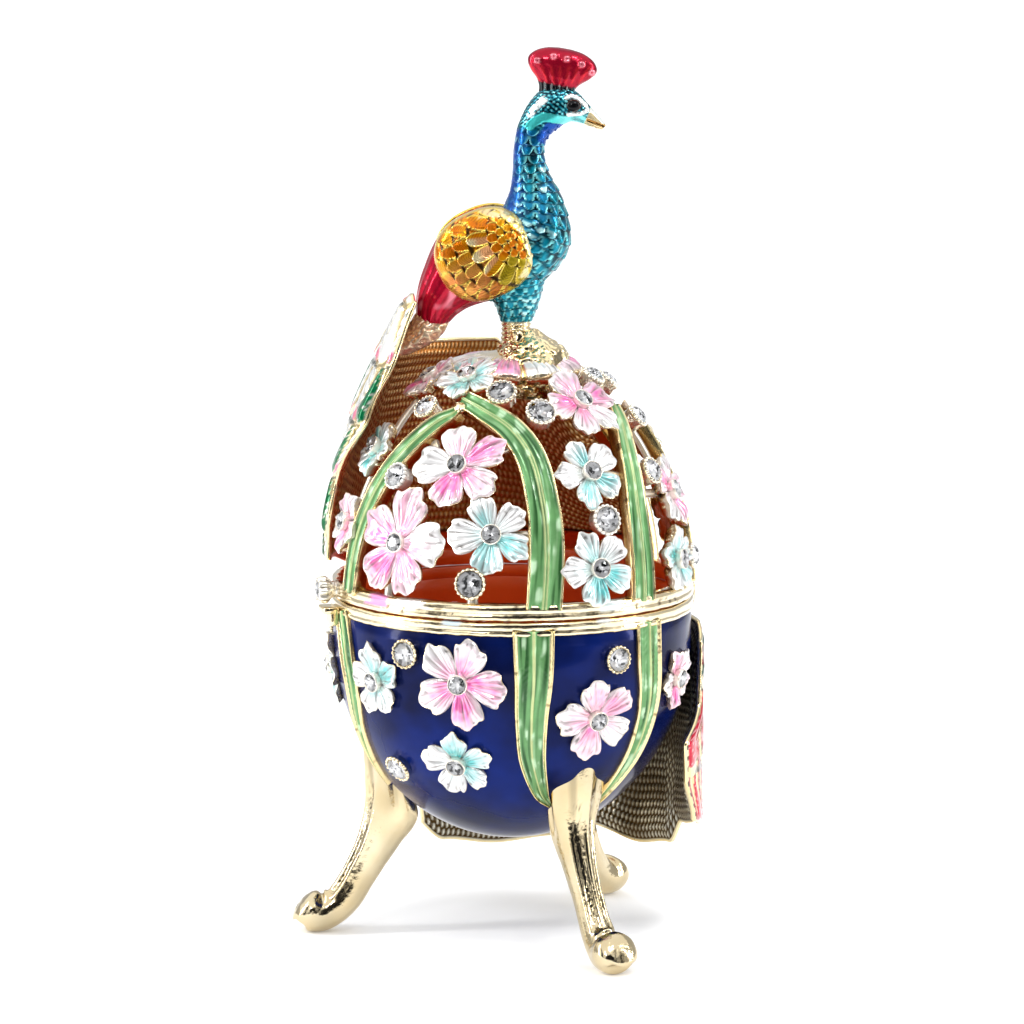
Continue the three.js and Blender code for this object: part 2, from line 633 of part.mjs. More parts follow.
const stoneSets = [
  ['bowl_stone', bowlCollets, (place) => [colletPocket + 0.5, place.size - 0.2]],
  ['bowl_flower_stone', bowlFlowers, () => [heartLift + seamGap, 1.2]],
  ['lid_stone', lidCollets, (place) => [colletPocket + 0.5, place.size - 0.2]],
  ['lid_flower_stone', lidFlowers, () => [heartLift + seamGap, 1.2]],
];
for (const [name, places, setting] of stoneSets) {
  places.forEach((place, number) => {
    const [lift, size] = setting(place);
    addPiece(`${name}_${number + 1}`, stone(place, lift, size), crystal);
  });
}

export default egg;
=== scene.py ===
import math
import bpy
import numpy as np
from mathutils import Matrix


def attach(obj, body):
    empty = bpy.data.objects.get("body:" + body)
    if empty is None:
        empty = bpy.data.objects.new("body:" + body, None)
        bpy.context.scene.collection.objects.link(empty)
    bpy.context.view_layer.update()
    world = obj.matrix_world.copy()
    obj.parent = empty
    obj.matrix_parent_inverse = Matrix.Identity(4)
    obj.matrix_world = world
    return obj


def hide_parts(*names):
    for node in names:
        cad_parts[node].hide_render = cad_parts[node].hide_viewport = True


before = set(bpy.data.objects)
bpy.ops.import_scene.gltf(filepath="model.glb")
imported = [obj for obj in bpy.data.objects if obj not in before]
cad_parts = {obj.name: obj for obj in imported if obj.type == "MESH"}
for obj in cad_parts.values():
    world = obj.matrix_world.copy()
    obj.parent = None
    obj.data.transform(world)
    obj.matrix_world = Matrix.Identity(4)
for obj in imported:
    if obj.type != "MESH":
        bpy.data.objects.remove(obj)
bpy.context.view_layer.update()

# Shapes are worked out in millimetres from the egg's axis, and makePiece puts them in the frame in metres.
# Azimuths are degrees from +X towards +Y, so the photographed front faces 270.

# ---- camera, light and floor

photo = {"distance": 808.5, "height": 196.36, "side": -0.08, "pitch": 8.751, "roll": 0.164, "focal": 172.03}
studio = {"white": (0.93, 0.94, 0.95), "world": 0.62, "floor": (0.96, 0.96, 0.965), "ceiling": 1.8, "glow": 0.15}


def addCamera(egg):
    data = bpy.data.cameras.new("camera")
    data.lens = photo["focal"]
    data.sensor_width = 36
    data.clip_start = 0.01
    camera = bpy.data.objects.new("camera", data)
    turn = Matrix.Rotation(math.radians(90 - photo["pitch"]), 4, "X") @ Matrix.Rotation(math.radians(photo["roll"]), 4, "Z")
    place = ((photo["side"] + egg["axisX"]) / 1000, -photo["distance"] / 1000, photo["height"] / 1000)
    camera.matrix_world = Matrix.Translation(place) @ turn
    bpy.context.scene.collection.objects.link(camera)
    bpy.context.scene.camera = camera


def addLamp(name, place, aim, size, power, colour=(1, 1, 1)):
    data = bpy.data.lights.new(name, "AREA")
    data.shape = "RECTANGLE"
    data.size, data.size_y = size
    data.energy = power
    data.color = colour
    lamp = bpy.data.objects.new(name, data)
    away = (Matrix.Translation(place).to_translation() - Matrix.Translation(aim).to_translation()).normalized()
    lamp.matrix_world = Matrix.Translation(place) @ away.to_track_quat("Z", "Y").to_matrix().to_4x4()
    bpy.context.scene.collection.objects.link(lamp)


# A flat card outside the picture that only reflections see.
def addCard(name, place, size, colour, lying=False):
    x, y, z = place
    wide, high = size
    toEgg = np.array([-x, -y])
    toEgg = toEgg / np.hypot(*toEgg)
    along = np.array([-toEgg[1], toEgg[0]]) * wide / 2
    corners = [(x + s * along[0], y + s * along[1], z + t * high / 2) for s, t in ((-1, -1), (1, -1), (1, 1), (-1, 1))]
    if lying:
        corners = [(x + s * wide / 2, y + t * high / 2, 0.0005) for s, t in ((-1, -1), (1, -1), (1, 1), (-1, 1))]
    mesh = bpy.data.meshes.new(name)
    mesh.from_pydata(corners, [], [(0, 1, 2, 3)])
    card = bpy.data.objects.new(name, mesh)
    bpy.context.scene.collection.objects.link(card)
    material = bpy.data.materials.new(name)
    material.use_nodes = True
    shader = material.node_tree.nodes["Principled BSDF"]
    shader.inputs["Base Color"].default_value = (*colour, 1)
    shader.inputs["Roughness"].default_value = 1
    shader.inputs["Specular IOR Level"].default_value = 0
    mesh.materials.append(material)
    card.visible_camera = False
    card.visible_diffuse = False
    card.visible_shadow = False


def addStudio():
    world = bpy.data.worlds.new("studio")
    bpy.context.scene.world = world
    world.use_nodes = True
    back = world.node_tree.nodes["Background"]
    back.inputs["Color"].default_value = (*studio["white"], 1)
    back.inputs["Strength"].default_value = studio["world"]
    mesh = bpy.data.meshes.new("floor")
    edge = 9
    mesh.from_pydata([(-edge, -edge, 0), (edge, -edge, 0), (edge, edge, 0), (-edge, edge, 0)], [], [(0, 1, 2, 3)])
    floor = bpy.data.objects.new("floor", mesh)
    bpy.context.scene.collection.objects.link(floor)
    material = bpy.data.materials.new("paper")
    material.use_nodes = True
    tree = material.node_tree
    shader = tree.nodes["Principled BSDF"]
    grain = tree.nodes.new("ShaderNodeTexNoise")
    grain.inputs["Scale"].default_value = 900
    ramp = tree.nodes.new("ShaderNodeValToRGB")
    ramp.color_ramp.elements[0].color = (*[c * 0.99 for c in studio["floor"]], 1)
    ramp.color_ramp.elements[1].color = (*studio["floor"], 1)
    tree.links.new(grain.outputs["Fac"], ramp.inputs["Fac"])
    tree.links.new(ramp.outputs["Color"], shader.inputs["Base Color"])
    shader.inputs["Roughness"].default_value = 0.8
    shader.inputs["Emission Color"].default_value = (1, 1, 1, 1)
    shader.inputs["Emission Strength"].default_value = studio["glow"]
    mesh.materials.append(material)
    data = bpy.data.lights.new("ceiling", "SUN")
    data.energy, data.angle = studio["ceiling"], math.radians(125)
    ceiling = bpy.data.objects.new("ceiling", data)
    ceiling.matrix_world = Matrix.Rotation(math.radians(-14), 4, "Y") @ Matrix.Rotation(math.radians(10), 4, "X")
    bpy.context.scene.collection.objects.link(ceiling)
    addLamp("left window", (-0.6, -0.12, 0.3), (0, 0, 0.08), (0.07, 0.7), 2.6)
    addLamp("right window", (0.62, -0.1, 0.28), (0, 0, 0.08), (0.05, 0.6), 1.8)
    addLamp("front window", (-0.3, -0.8, 0.62), (0, 0, 0.08), (0.1, 0.14), 1.3)
    addLamp("upper window", (0.25, -0.35, 0.7), (0, 0, 0.08), (0.12, 0.12), 1.2)
    addCard("dark room", (0.12, -1.1, 0.45), (1.3, 0.95), (0.012, 0.012, 0.014))
    addCard("left dark strip", (-0.5, -0.42, 0.2), (0.16, 0.8), (0.01, 0.01, 0.01))
    addCard("right dark strip", (0.5, -0.4, 0.2), (0.12, 0.8), (0.01, 0.01, 0.01))
    addCard("dark table", (0, -0.62, 0.0), (0.9, 0.84), (0.05, 0.05, 0.055), lying=True)
    settings = bpy.context.scene.view_settings
    settings.view_transform = "Standard"
    settings.exposure = 0.0
    settings.gamma = 1.0


# ---- surfaces

# 0 below low, 1 above high, and smooth between.
def ease(value, low, high):
    t = np.clip((np.asarray(value, float) - low) / (high - low), 0, 1)
    return t * t * (3 - 2 * t)


# A Catmull-Rom curve through the stops, in equal steps from stop to stop.
def smoothLine(stops, count):
    stops = np.array(stops, float)
    ends = np.vstack([2 * stops[0] - stops[1], stops, 2 * stops[-1] - stops[-2]])
    t = np.linspace(0, len(stops) - 1, count)
    k = np.minimum(t.astype(int), len(stops) - 2)
    f = (t - k)[:, None]
    a, b, c, d = ends[k], ends[k + 1], ends[k + 2], ends[k + 3]
    return 0.5 * (2 * b + (c - a) * f + (2 * a - 5 * b + 4 * c - d) * f ** 2 + (3 * b - a - 3 * c + d) * f ** 3)


# A sum of nine sines along random directions, of wavelengths about size, roughly from -1 to 1.
def ripple(points, size, seed):
    rng = np.random.default_rng(seed)
    waves = rng.normal(size=(9, 3))
    waves *= (2 * math.pi / size * rng.uniform(0.6, 1.6, 9) / np.linalg.norm(waves, axis=1))[:, None]
    return np.sin(points @ waves.T + rng.uniform(0, 2 * math.pi, 9)).sum(-1) / 4


def unit(vectors):
    return vectors / np.maximum(np.linalg.norm(vectors, axis=-1, keepdims=True), 1e-12)


# Lays colours over one another: each pair is (colour of 4, mask over the points).
def blendColours(*pairs):
    shown = np.zeros(np.broadcast_shapes(*[np.shape(mask) for _, mask in pairs]) + (4,))
    for colour, mask in pairs:
        mask = np.asarray(mask, float)[..., None]
        shown = shown * (1 - mask) + np.array(colour, float) * mask
    return shown


# Lays more colours over a painted grid.
def blendWith(shown, *pairs):
    for colour, mask in pairs:
        mask = np.asarray(mask, float)[..., None]
        shown = shown * (1 - mask) + np.array(colour, float) * mask
    return shown


# Joins closed rings one after another. A loop joins the last ring to the first; else a point closes each end.
def tube(rings, paint=None, loop=False, look=0):
    rows, across = rings.shape[:2]
    if paint is None:
        paint = np.ones((rows, across, 4))
    ids = np.arange(rows * across).reshape(rows, across)
    nextRow = np.roll(ids, -1, axis=0) if loop else ids[1:]
    firstRow = ids if loop else ids[:-1]
    quads = np.stack([firstRow, np.roll(firstRow, -1, 1), np.roll(nextRow, -1, 1), nextRow], -1).reshape(-1, 4)
    points = rings.reshape(-1, 3)
    colours = np.broadcast_to(paint, (rows, across, 4)).reshape(-1, 4)
    corners = np.zeros((0, 3), int)
    if not loop:
        points = np.vstack([points, rings[0].mean(0), rings[-1].mean(0)])
        colours = np.vstack([colours, paint[0].mean(0), paint[-1].mean(0)])
        first = np.stack([np.full(across, len(points) - 2), np.roll(ids[0], -1), ids[0]], -1)
        last = np.stack([np.full(across, len(points) - 1), ids[-1], np.roll(ids[-1], -1)], -1)
        corners = np.vstack([first, last])
    return {"points": points, "quads": quads, "corners": corners, "paint": colours, "look": look}


# A wall between two grids of the same outline, closed round its edge.
def slab(outer, inner, outerPaint, innerPaint, looks=(0, 0)):
    rows, across = outer.shape[:2]
    grid = np.arange(rows * across).reshape(rows, across)
    far = grid + rows * across
    cells = lambda g: np.stack([g[:-1, :-1], g[:-1, 1:], g[1:, 1:], g[1:, :-1]], -1).reshape(-1, 4)
    rim = np.concatenate([grid[0, :-1], grid[:-1, -1], grid[-1, :0:-1], grid[:0:-1, 0]])
    after = np.roll(rim, -1)
    edge = np.stack([after, rim, rim + rows * across, after + rows * across], -1)
    quads = np.vstack([cells(grid), cells(far)[:, ::-1], edge])
    marks = np.concatenate([np.full((rows - 1) * (across - 1), looks[0]),
                            np.full((rows - 1) * (across - 1), looks[1]), np.full(len(edge), looks[0])])
    return {"points": np.vstack([outer.reshape(-1, 3), inner.reshape(-1, 3)]), "quads": quads,
            "corners": np.zeros((0, 3), int),
            "paint": np.vstack([outerPaint.reshape(-1, 4), innerPaint.reshape(-1, 4)]), "look": marks}


# Reverses the faces of a closed part whose signed volume is negative.
def turnOut(part):
    p, quads, corners = part["points"], part["quads"], part["corners"]
    tris = np.vstack([quads[:, [0, 1, 2]], quads[:, [0, 2, 3]], corners])
    a, b, c = p[tris[:, 0]], p[tris[:, 1]], p[tris[:, 2]]
    if np.einsum("ij,ij->i", a - p[0], np.cross(b - p[0], c - p[0])).sum() < 0:
        part["quads"], part["corners"] = quads[:, ::-1], corners[:, ::-1]
    return part


# One object from closed parts: their points in metres, their faces, their paint and their materials.
def makePiece(name, body, parts, materials, replaced=(), flat=False):
    points, quads, corners, paint, quadLooks, cornerLooks, start = [], [], [], [], [], [], 0
    for part in map(turnOut, parts):
        points.append(part["points"])
        paint.append(part["paint"])
        quads.append(part["quads"] + start)
        corners.append(part["corners"] + start)
        quadLooks.append(np.broadcast_to(part["look"], len(part["quads"])))
        cornerLooks.append(part.get("facets", np.full(len(part["corners"]), np.max(part["look"]))))
        start += len(part["points"])
    mesh = bpy.data.meshes.new(name)
    place = (np.vstack(points) + [egg["axisX"], 0, 0]) / 1000
    mesh.from_pydata(place.tolist(), [], np.vstack(quads).tolist() + np.vstack(corners).tolist())
    mesh.polygons.foreach_set("material_index", np.concatenate(quadLooks + cornerLooks).astype(np.int32))
    mesh.polygons.foreach_set("use_smooth", np.full(len(mesh.polygons), not flat))
    layer = mesh.color_attributes.new("paint", "FLOAT_COLOR", "POINT")
    layer.data.foreach_set("color", np.vstack(paint).astype(np.float32).ravel())
    for material in materials:
        mesh.materials.append(material)
    mesh.update()
    piece = bpy.data.objects.new(name, mesh)
    bpy.context.scene.collection.objects.link(piece)
    if replaced:
        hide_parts(*replaced)
    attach(piece, body)
    print(name, len(quadLooks) and sum(len(q) for q in quads) * 2 + sum(len(c) for c in corners), "triangles")
    return piece


# ---- finishes

def addNode(tree, kind, inputs=None, **settings):
    made = tree.nodes.new(kind)
    for key, value in settings.items():
        setattr(made, key, value)
    for key, value in (inputs or {}).items():
        if isinstance(value, bpy.types.NodeSocket):
            tree.links.new(value, made.inputs[key])
        else:
            made.inputs[key].default_value = value
    return made


def mixColours(tree, share, below, above, blend="MIX"):
    return addNode(tree, "ShaderNodeMix", {0: share, 6: below, 7: above}, data_type="RGBA", blend_type=blend).outputs[2]


def mixValues(tree, share, low, high):
    return addNode(tree, "ShaderNodeMapRange", {"Value": share, "To Min": low, "To Max": high}).outputs[0]


def bumps(tree, place, scale, depth, normal=None, detail=3):
    noise = addNode(tree, "ShaderNodeTexNoise", {"Vector": place, "Scale": scale, "Detail": detail})
    made = addNode(tree, "ShaderNodeBump", {"Height": noise.outputs["Fac"], "Distance": depth, "Strength": 1.0})
    if normal:
        tree.links.new(normal, made.inputs["Normal"])
    return made.outputs["Normal"]


def startMaterial(name):
    material = bpy.data.materials.new(name)
    material.use_nodes = True
    tree = material.node_tree
    place = addNode(tree, "ShaderNodeTexCoord").outputs["Object"]
    paint = addNode(tree, "ShaderNodeAttribute", attribute_name="paint")
    return material, tree, tree.nodes["Principled BSDF"], place, paint


goldLook = {"bright": (0.95, 0.84, 0.6, 1), "deep": (0.84, 0.67, 0.39, 1), "rough": (0.06, 0.2), "dent": 0.00006}


# Polished pale gold over a hand-finished casting. The paint darkens it in the hollows.
def goldPlate(name, look):
    material, tree, shader, place, paint = startMaterial(name)
    cloud = addNode(tree, "ShaderNodeTexNoise", {"Vector": place, "Scale": 160, "Detail": 4})
    tone = mixColours(tree, mixValues(tree, cloud.outputs["Fac"], -0.4, 1.4), look["deep"], look["bright"])
    tree.links.new(mixColours(tree, 1.0, tone, paint.outputs["Color"], "MULTIPLY"), shader.inputs["Base Color"])
    wear = addNode(tree, "ShaderNodeTexNoise", {"Vector": place, "Scale": 900, "Detail": 5})
    tree.links.new(mixValues(tree, wear.outputs["Fac"], *look["rough"]), shader.inputs["Roughness"])
    normal = bumps(tree, place, 260, look["dent"] * 3, detail=2)
    tree.links.new(bumps(tree, place, 1500, look["dent"], normal), shader.inputs["Normal"])
    shader.inputs["Metallic"].default_value = 1.0
    return material


# Glossy enamel in the cells of a casting. Where the paint's alpha is 1 the gilt metal is bare.
def castEnamel(name, look):
    material, tree, shader, place, paint = startMaterial(name)
    mottle = addNode(tree, "ShaderNodeTexNoise", {"Vector": place, "Scale": look["mottleScale"], "Detail": 5})
    shade = mixValues(tree, mottle.outputs["Fac"], 1 - look["mottle"], 1 + look["mottle"])
    toned = addNode(tree, "ShaderNodeVectorMath", {0: paint.outputs["Color"], 1: shade}, operation="MULTIPLY")
    gilt = addNode(tree, "ShaderNodeMath", {0: paint.outputs["Alpha"], 1: 1.0}, operation="MULTIPLY").outputs[0]
    metal = mixColours(tree, mottle.outputs["Fac"], goldLook["deep"], goldLook["bright"])
    metal = mixColours(tree, 1.0, metal, paint.outputs["Color"], "MULTIPLY")
    tree.links.new(mixColours(tree, gilt, toned.outputs[0], metal), shader.inputs["Base Color"])
    tree.links.new(mixValues(tree, gilt, look["metal"], 1.0), shader.inputs["Metallic"])
    grain = addNode(tree, "ShaderNodeTexNoise", {"Vector": place, "Scale": 1400, "Detail": 4})
    rough = mixValues(tree, grain.outputs["Fac"], look["rough"] * 0.7, look["rough"] * 1.3)
    tree.links.new(rough, shader.inputs["Roughness"])
    normal = bumps(tree, place, look["waveScale"], look["wave"], detail=2)
    tree.links.new(normal, shader.inputs["Normal"])
    shader.inputs["Specular IOR Level"].default_value = look["shine"]
    shader.inputs["Coat Weight"].default_value = look["coat"]
    shader.inputs["Coat Roughness"].default_value = 0.03
    return material


def clearCrystal():
    material, tree, shader, place, paint = startMaterial("clearCrystal")
    speck = addNode(tree, "ShaderNodeTexNoise", {"Vector": place, "Scale": 3000, "Detail": 2})
    tree.links.new(mixValues(tree, speck.outputs["Fac"], 0.0, 0.02), shader.inputs["Roughness"])
    shader.inputs["Base Color"].default_value = (0.98, 0.985, 1.0, 1)
    shader.inputs["Transmission Weight"].default_value = 1.0
    shader.inputs["IOR"].default_value = 1.7
    return material


# Foil behind the stones, with sharp black and white patches about a facet wide painted on it as reflections of the
# facets.
def foilWithReflections():
    material, tree, shader, place, paint = startMaterial("foilWithReflections")
    tint = addNode(tree, "ShaderNodeTexNoise", {"Vector": place, "Scale": 1300, "Detail": 2})
    ramp = addNode(tree, "ShaderNodeValToRGB", {"Fac": tint.outputs["Fac"]})
    ramp.color_ramp.elements[0].position, ramp.color_ramp.elements[0].color = 0.42, (0.015, 0.016, 0.018, 1)
    ramp.color_ramp.elements[1].position, ramp.color_ramp.elements[1].color = 0.46, (0.97, 0.97, 0.98, 1)
    tree.links.new(ramp.outputs["Color"], shader.inputs["Base Color"])
    tree.links.new(mixValues(tree, tint.outputs["Fac"], 0.02, 0.1), shader.inputs["Roughness"])
    shader.inputs["Metallic"].default_value = 0.6
    return material


# Deep blue glass enamel over metal, brighter where the metal under it catches light.
def navyEnamel():
    material, tree, shader, place, paint = startMaterial("navyEnamel")
    cloud = addNode(tree, "ShaderNodeTexNoise", {"Vector": place, "Scale": 55, "Detail": 3, "Roughness": 0.55})
    ramp = addNode(tree, "ShaderNodeValToRGB", {"Fac": cloud.outputs["Fac"]})
    ramp.color_ramp.elements[0].position, ramp.color_ramp.elements[0].color = 0.36, (0.002, 0.004, 0.03, 1)
    ramp.color_ramp.elements[1].position, ramp.color_ramp.elements[1].color = 0.68, (0.003, 0.016, 0.15, 1)
    tree.links.new(ramp.outputs["Color"], shader.inputs["Base Color"])
    tree.links.new(mixValues(tree, cloud.outputs["Fac"], 0.12, 0.26), shader.inputs["Roughness"])
    tree.links.new(bumps(tree, place, 70, 0.00012, detail=2), shader.inputs["Normal"])
    shader.inputs["Metallic"].default_value = 0.3
    shader.inputs["Specular IOR Level"].default_value = 0.06
    shader.inputs["Coat Weight"].default_value = 0.1
    shader.inputs["Coat Roughness"].default_value = 0.06
    return material


# Smooth red-brown lining.
def innerEnamel():
    material, tree, shader, place, paint = startMaterial("innerEnamel")
    cloud = addNode(tree, "ShaderNodeTexNoise", {"Vector": place, "Scale": 120, "Detail": 4})
    tree.links.new(mixColours(tree, cloud.outputs["Fac"], (0.7, 0.075, 0.008, 1), (0.85, 0.12, 0.014, 1)), shader.inputs["Base Color"])
    tree.links.new(mixValues(tree, cloud.outputs["Fac"], 0.22, 0.4), shader.inputs["Roughness"])
    tree.links.new(bumps(tree, place, 500, 0.00003), shader.inputs["Normal"])
    shader.inputs["Coat Weight"].default_value = 0.5
    return material


leafLook = {"mottleScale": 420, "mottle": 0.35, "metal": 0.2, "rough": 0.24, "shine": 0.2, "coat": 0.3, "waveScale": 500, "wave": 0.00008}
petalLook = {"mottleScale": 700, "mottle": 0.07, "metal": 0.4, "rough": 0.18, "shine": 0.5, "coat": 0.8, "waveScale": 700, "wave": 0.00006}
featherLook = {"mottleScale": 600, "mottle": 0.3, "metal": 0.6, "rough": 0.2, "shine": 0.1, "coat": 0.25, "waveScale": 900, "wave": 0.00006}
trainGloss = {"mottleScale": 350, "mottle": 0.3, "metal": 0.4, "rough": 0.14, "shine": 0.15, "coat": 0.4, "waveScale": 420, "wave": 0.00006}
antiqueLook = {"mottleScale": 500, "mottle": 0.25, "metal": 0.7, "rough": 0.3, "shine": 0.3, "coat": 0.0, "waveScale": 1200, "wave": 0.00005}

gold = goldPlate("paleGold", goldLook)
leafEnamel = castEnamel("leafEnamel", leafLook)
petalEnamel = castEnamel("petalEnamel", petalLook)
featherEnamel = castEnamel("featherEnamel", featherLook)
trainEnamel = castEnamel("trainEnamel", trainGloss)
antiqueGold = castEnamel("antiqueGold", antiqueLook)
navy = navyEnamel()
lining = innerEnamel()
crystal = clearCrystal()
foil = foilWithReflections()

# ---- the egg's skin

egg = {"axisX": 2.4, "rim": 30.0, "seam": 58.5, "rise": 40.5, "belly": 52.0, "drop": 35.0, "wall": 2.1,
       "lidWall": 1.5, "bandReach": 0.4, "bandHeight": 2.4, "gap": 0.3}


# Carries points straight out from the egg's middle to its skin, then lifts them along the normal.
def drape(points, lift):
    points = np.asarray(points, float)
    low = points[..., 2] < egg["seam"]
    straight = low & (points[..., 2] > egg["belly"])
    level = np.where(low, egg["belly"], egg["seam"])
    reach = np.where(low, egg["drop"], egg["rise"])
    flat = points[..., :2]
    up = np.where(straight, 0, points[..., 2] - level)
    scale = 1 / np.sqrt((flat ** 2).sum(-1) / egg["rim"] ** 2 + (up / reach) ** 2)
    onSkin = np.concatenate([flat * scale[..., None], (up * scale)[..., None]], -1)
    normal = unit(onSkin / np.stack([np.full_like(reach, egg["rim"] ** 2)] * 2 + [reach ** 2], -1))
    base = onSkin + np.stack([np.zeros_like(level)] * 2 + [np.where(straight, points[..., 2], level)], -1)
    return base + normal * np.asarray(lift, float)[..., None]


def skin(azimuth, height, lift=0.0):
    azimuth, height, lift = np.broadcast_arrays(np.asarray(azimuth, float), height, lift)
    level = np.where(height < egg["seam"], egg["belly"], egg["seam"])
    reach = np.where(height < egg["seam"], egg["drop"], egg["rise"])
    share = np.where((height > egg["belly"]) & (height < egg["seam"]), 0, (height - level) / reach)
    radius = np.maximum(egg["rim"] * np.sqrt(np.clip(1 - share ** 2, 0, 1)), 0.01)
    turn = np.radians(azimuth)
    return drape(np.stack([radius * np.cos(turn), radius * np.sin(turn), height], -1), lift)


# A place on the skin, its normal, and the directions along the skin to the right and up.
def seat(azimuth, height):
    base = skin(azimuth, height)
    normal = unit(skin(azimuth, height, 1.0) - base)
    east = np.array([-math.sin(math.radians(azimuth)), math.cos(math.radians(azimuth)), 0])
    return base, normal, east, unit(np.cross(normal, east))


# Rings of the profile's (radius, height) points turned round the axis.
def lathe(profile, sides):
    profile = np.array(profile, float)
    turn = np.linspace(0, 2 * math.pi, sides, endpoint=False)
    r, z = profile[:, :1], profile[:, 1:]
    return np.stack([r * np.cos(turn), r * np.sin(turn), z + 0 * turn], -1)


# Stands local rings, with their z along the normal, at a place on the skin.
def onSeat(rings, place):
    base, normal, east, north = seat(place["azimuth"], place["height"])
    return base + rings[..., :1] * east + rings[..., 1:2] * north + rings[..., 2:] * normal


# (radius, height) along the egg, by the angle on its ellipse: negative on the bowl.
def eggOutline(start, stop, count, lift):
    angle = np.radians(np.linspace(start, stop, count))
    level, reach = (egg["belly"], egg["drop"]) if start + stop < 0 else (egg["seam"], egg["rise"])
    return np.stack([(egg["rim"] + lift) * np.cos(angle), level + (reach + lift) * np.sin(angle)], -1)


# ---- ribbons: green enamel leaves between gilt wires

ribbonLook = {"wire": 0.6, "ridge": 0.45, "channel": 0.3, "dark": (0.024, 0.09, 0.024, 0), "leaf": (0.125, 0.3, 0.11, 0),
              "pale": (0.3, 0.5, 0.26, 0), "gilt": (1, 0.95, 0.75, 1), "side": (0.5, 0.33, 0.12, 1), "vein": (0.5, 0.58, 0.28, 0.15)}


# A section of gilt wire, channel, double ridge, channel and wire, carried along the route over the skin.
def ribbon(route, depth, steps, veins):
    look = ribbonLook
    line = smoothLine(route, steps)
    base = skin(line[:, 0], line[:, 1])
    normal = unit(skin(line[:, 0], line[:, 1], 1.0) - base)
    along = unit(np.gradient(base, axis=0))
    side = np.cross(normal, along)
    s = np.concatenate([np.linspace(-1, 1, 45), [1, 0.97, 0.94], np.linspace(0.8, -0.8, 5), [-0.94, -0.97, -1]])
    top = np.arange(len(s)) < 45
    wires = look["wire"] * np.exp(-((np.abs(s) - 0.92) / 0.07) ** 2)
    ridge = look["ridge"] * np.exp(-((np.abs(s) - (0.0 if veins else 0.09)) / 0.05) ** 2)
    lift = np.where(top, look["channel"] + 0.18 * np.cos(s * math.pi * 2) + np.maximum(wires, ridge) * 0.55, 0)
    lift = np.where(top & (np.abs(s) > 0.985), 0.2, lift)
    under = np.array([-0.35 * depth, -0.7 * depth, -0.95 * depth] + [-depth] * 5 + [-0.95 * depth, -0.7 * depth, -0.35 * depth])
    lift[45:] = under
    lift = lift[None, :] + np.zeros((steps, 1))
    length = np.concatenate([[0], np.cumsum(np.linalg.norm(np.diff(base, axis=0), axis=1))])
    if veins:
        slant = np.sin(2 * math.pi * (length[:, None] - 2.2 * np.abs(s)[None, :] * line[:, 2:3] / 4) / 1.1)
        lift = lift + np.where(top & (np.abs(s) > 0.2) & (np.abs(s) < 0.84), 0.07 * slant, 0)
    rings = drape(base[:, None] + side[:, None] * (s[None, :, None] * line[:, 2][:, None, None] / 2), lift)
    streak = ripple(np.stack([length[:, None] * 0.12 + 0 * s, s * 3.4 + 0 * length[:, None], 0 * s + line[:1, :1] * 0.3 + 0 * length[:, None]], -1), 2.2, 7)
    fine = ripple(np.stack([length[:, None] * 0.03 + 0 * s, s + 0 * length[:, None], line[:1, :1] + 0 * s + 0 * length[:, None]], -1), 0.3, 8)
    tone = 0.5 * ease(streak, -0.9, 0.9) + 0.5 * ease(fine, -0.8, 0.9)
    border = 0.74 if veins else 0.83
    speck = ease(ripple(base[:, None] + side[:, None] * s[None, :, None], 1.7, 9), 0.75, 1.1)
    gilt = ease(np.abs(s), border, border + 0.06) * top + 0 * tone
    glint = ease(ripple(rings * (1, 1, 0.45), 2.6, 19), 0.25, 0.8) * ease(fine, -0.5, 0.5) * top
    vein = (ease(0.1 - np.abs(s), 0.0, 0.05) if veins else ease(0.055 - np.abs(np.abs(s) - 0.09), 0.0, 0.02)) * top
    # Painted highlights: the pale green over the high end of the tone and the pale glints. The dark-to-leaf streaks are
    # the enamel's own tone.
    paint = blendColours((look["dark"], np.ones_like(tone)), (look["leaf"], ease(tone, 0.05, 0.5)),
                         (look["pale"], 0.7 * ease(tone, 0.6, 1.0)), (look["vein"], vein + 0 * tone), ((0.58, 0.8, 0.54, 0), 0.75 * glint), (look["gilt"], gilt),
                         ((0.12, 0.09, 0.04, 1), 0.8 * gilt * speck), (look["side"], (~top) + 0 * tone))
    return tube(rings, paint)


# ---- flowers

# The groove colour is the grey of the petals' painted shade.
flowerLook = {"heart": 0.2, "white": (0.8, 0.79, 0.79, 0.0), "pink": (0.9, 0.16, 0.46, 0), "rose": (0.85, 0.36, 0.42, 0),
              "aqua": (0.12, 0.58, 0.58, 0), "groove": (0.16, 0.15, 0.15, 0.2), "gilt": (1, 0.92, 0.7, 0.85),
              "back": (0.5, 0.36, 0.16, 1)}


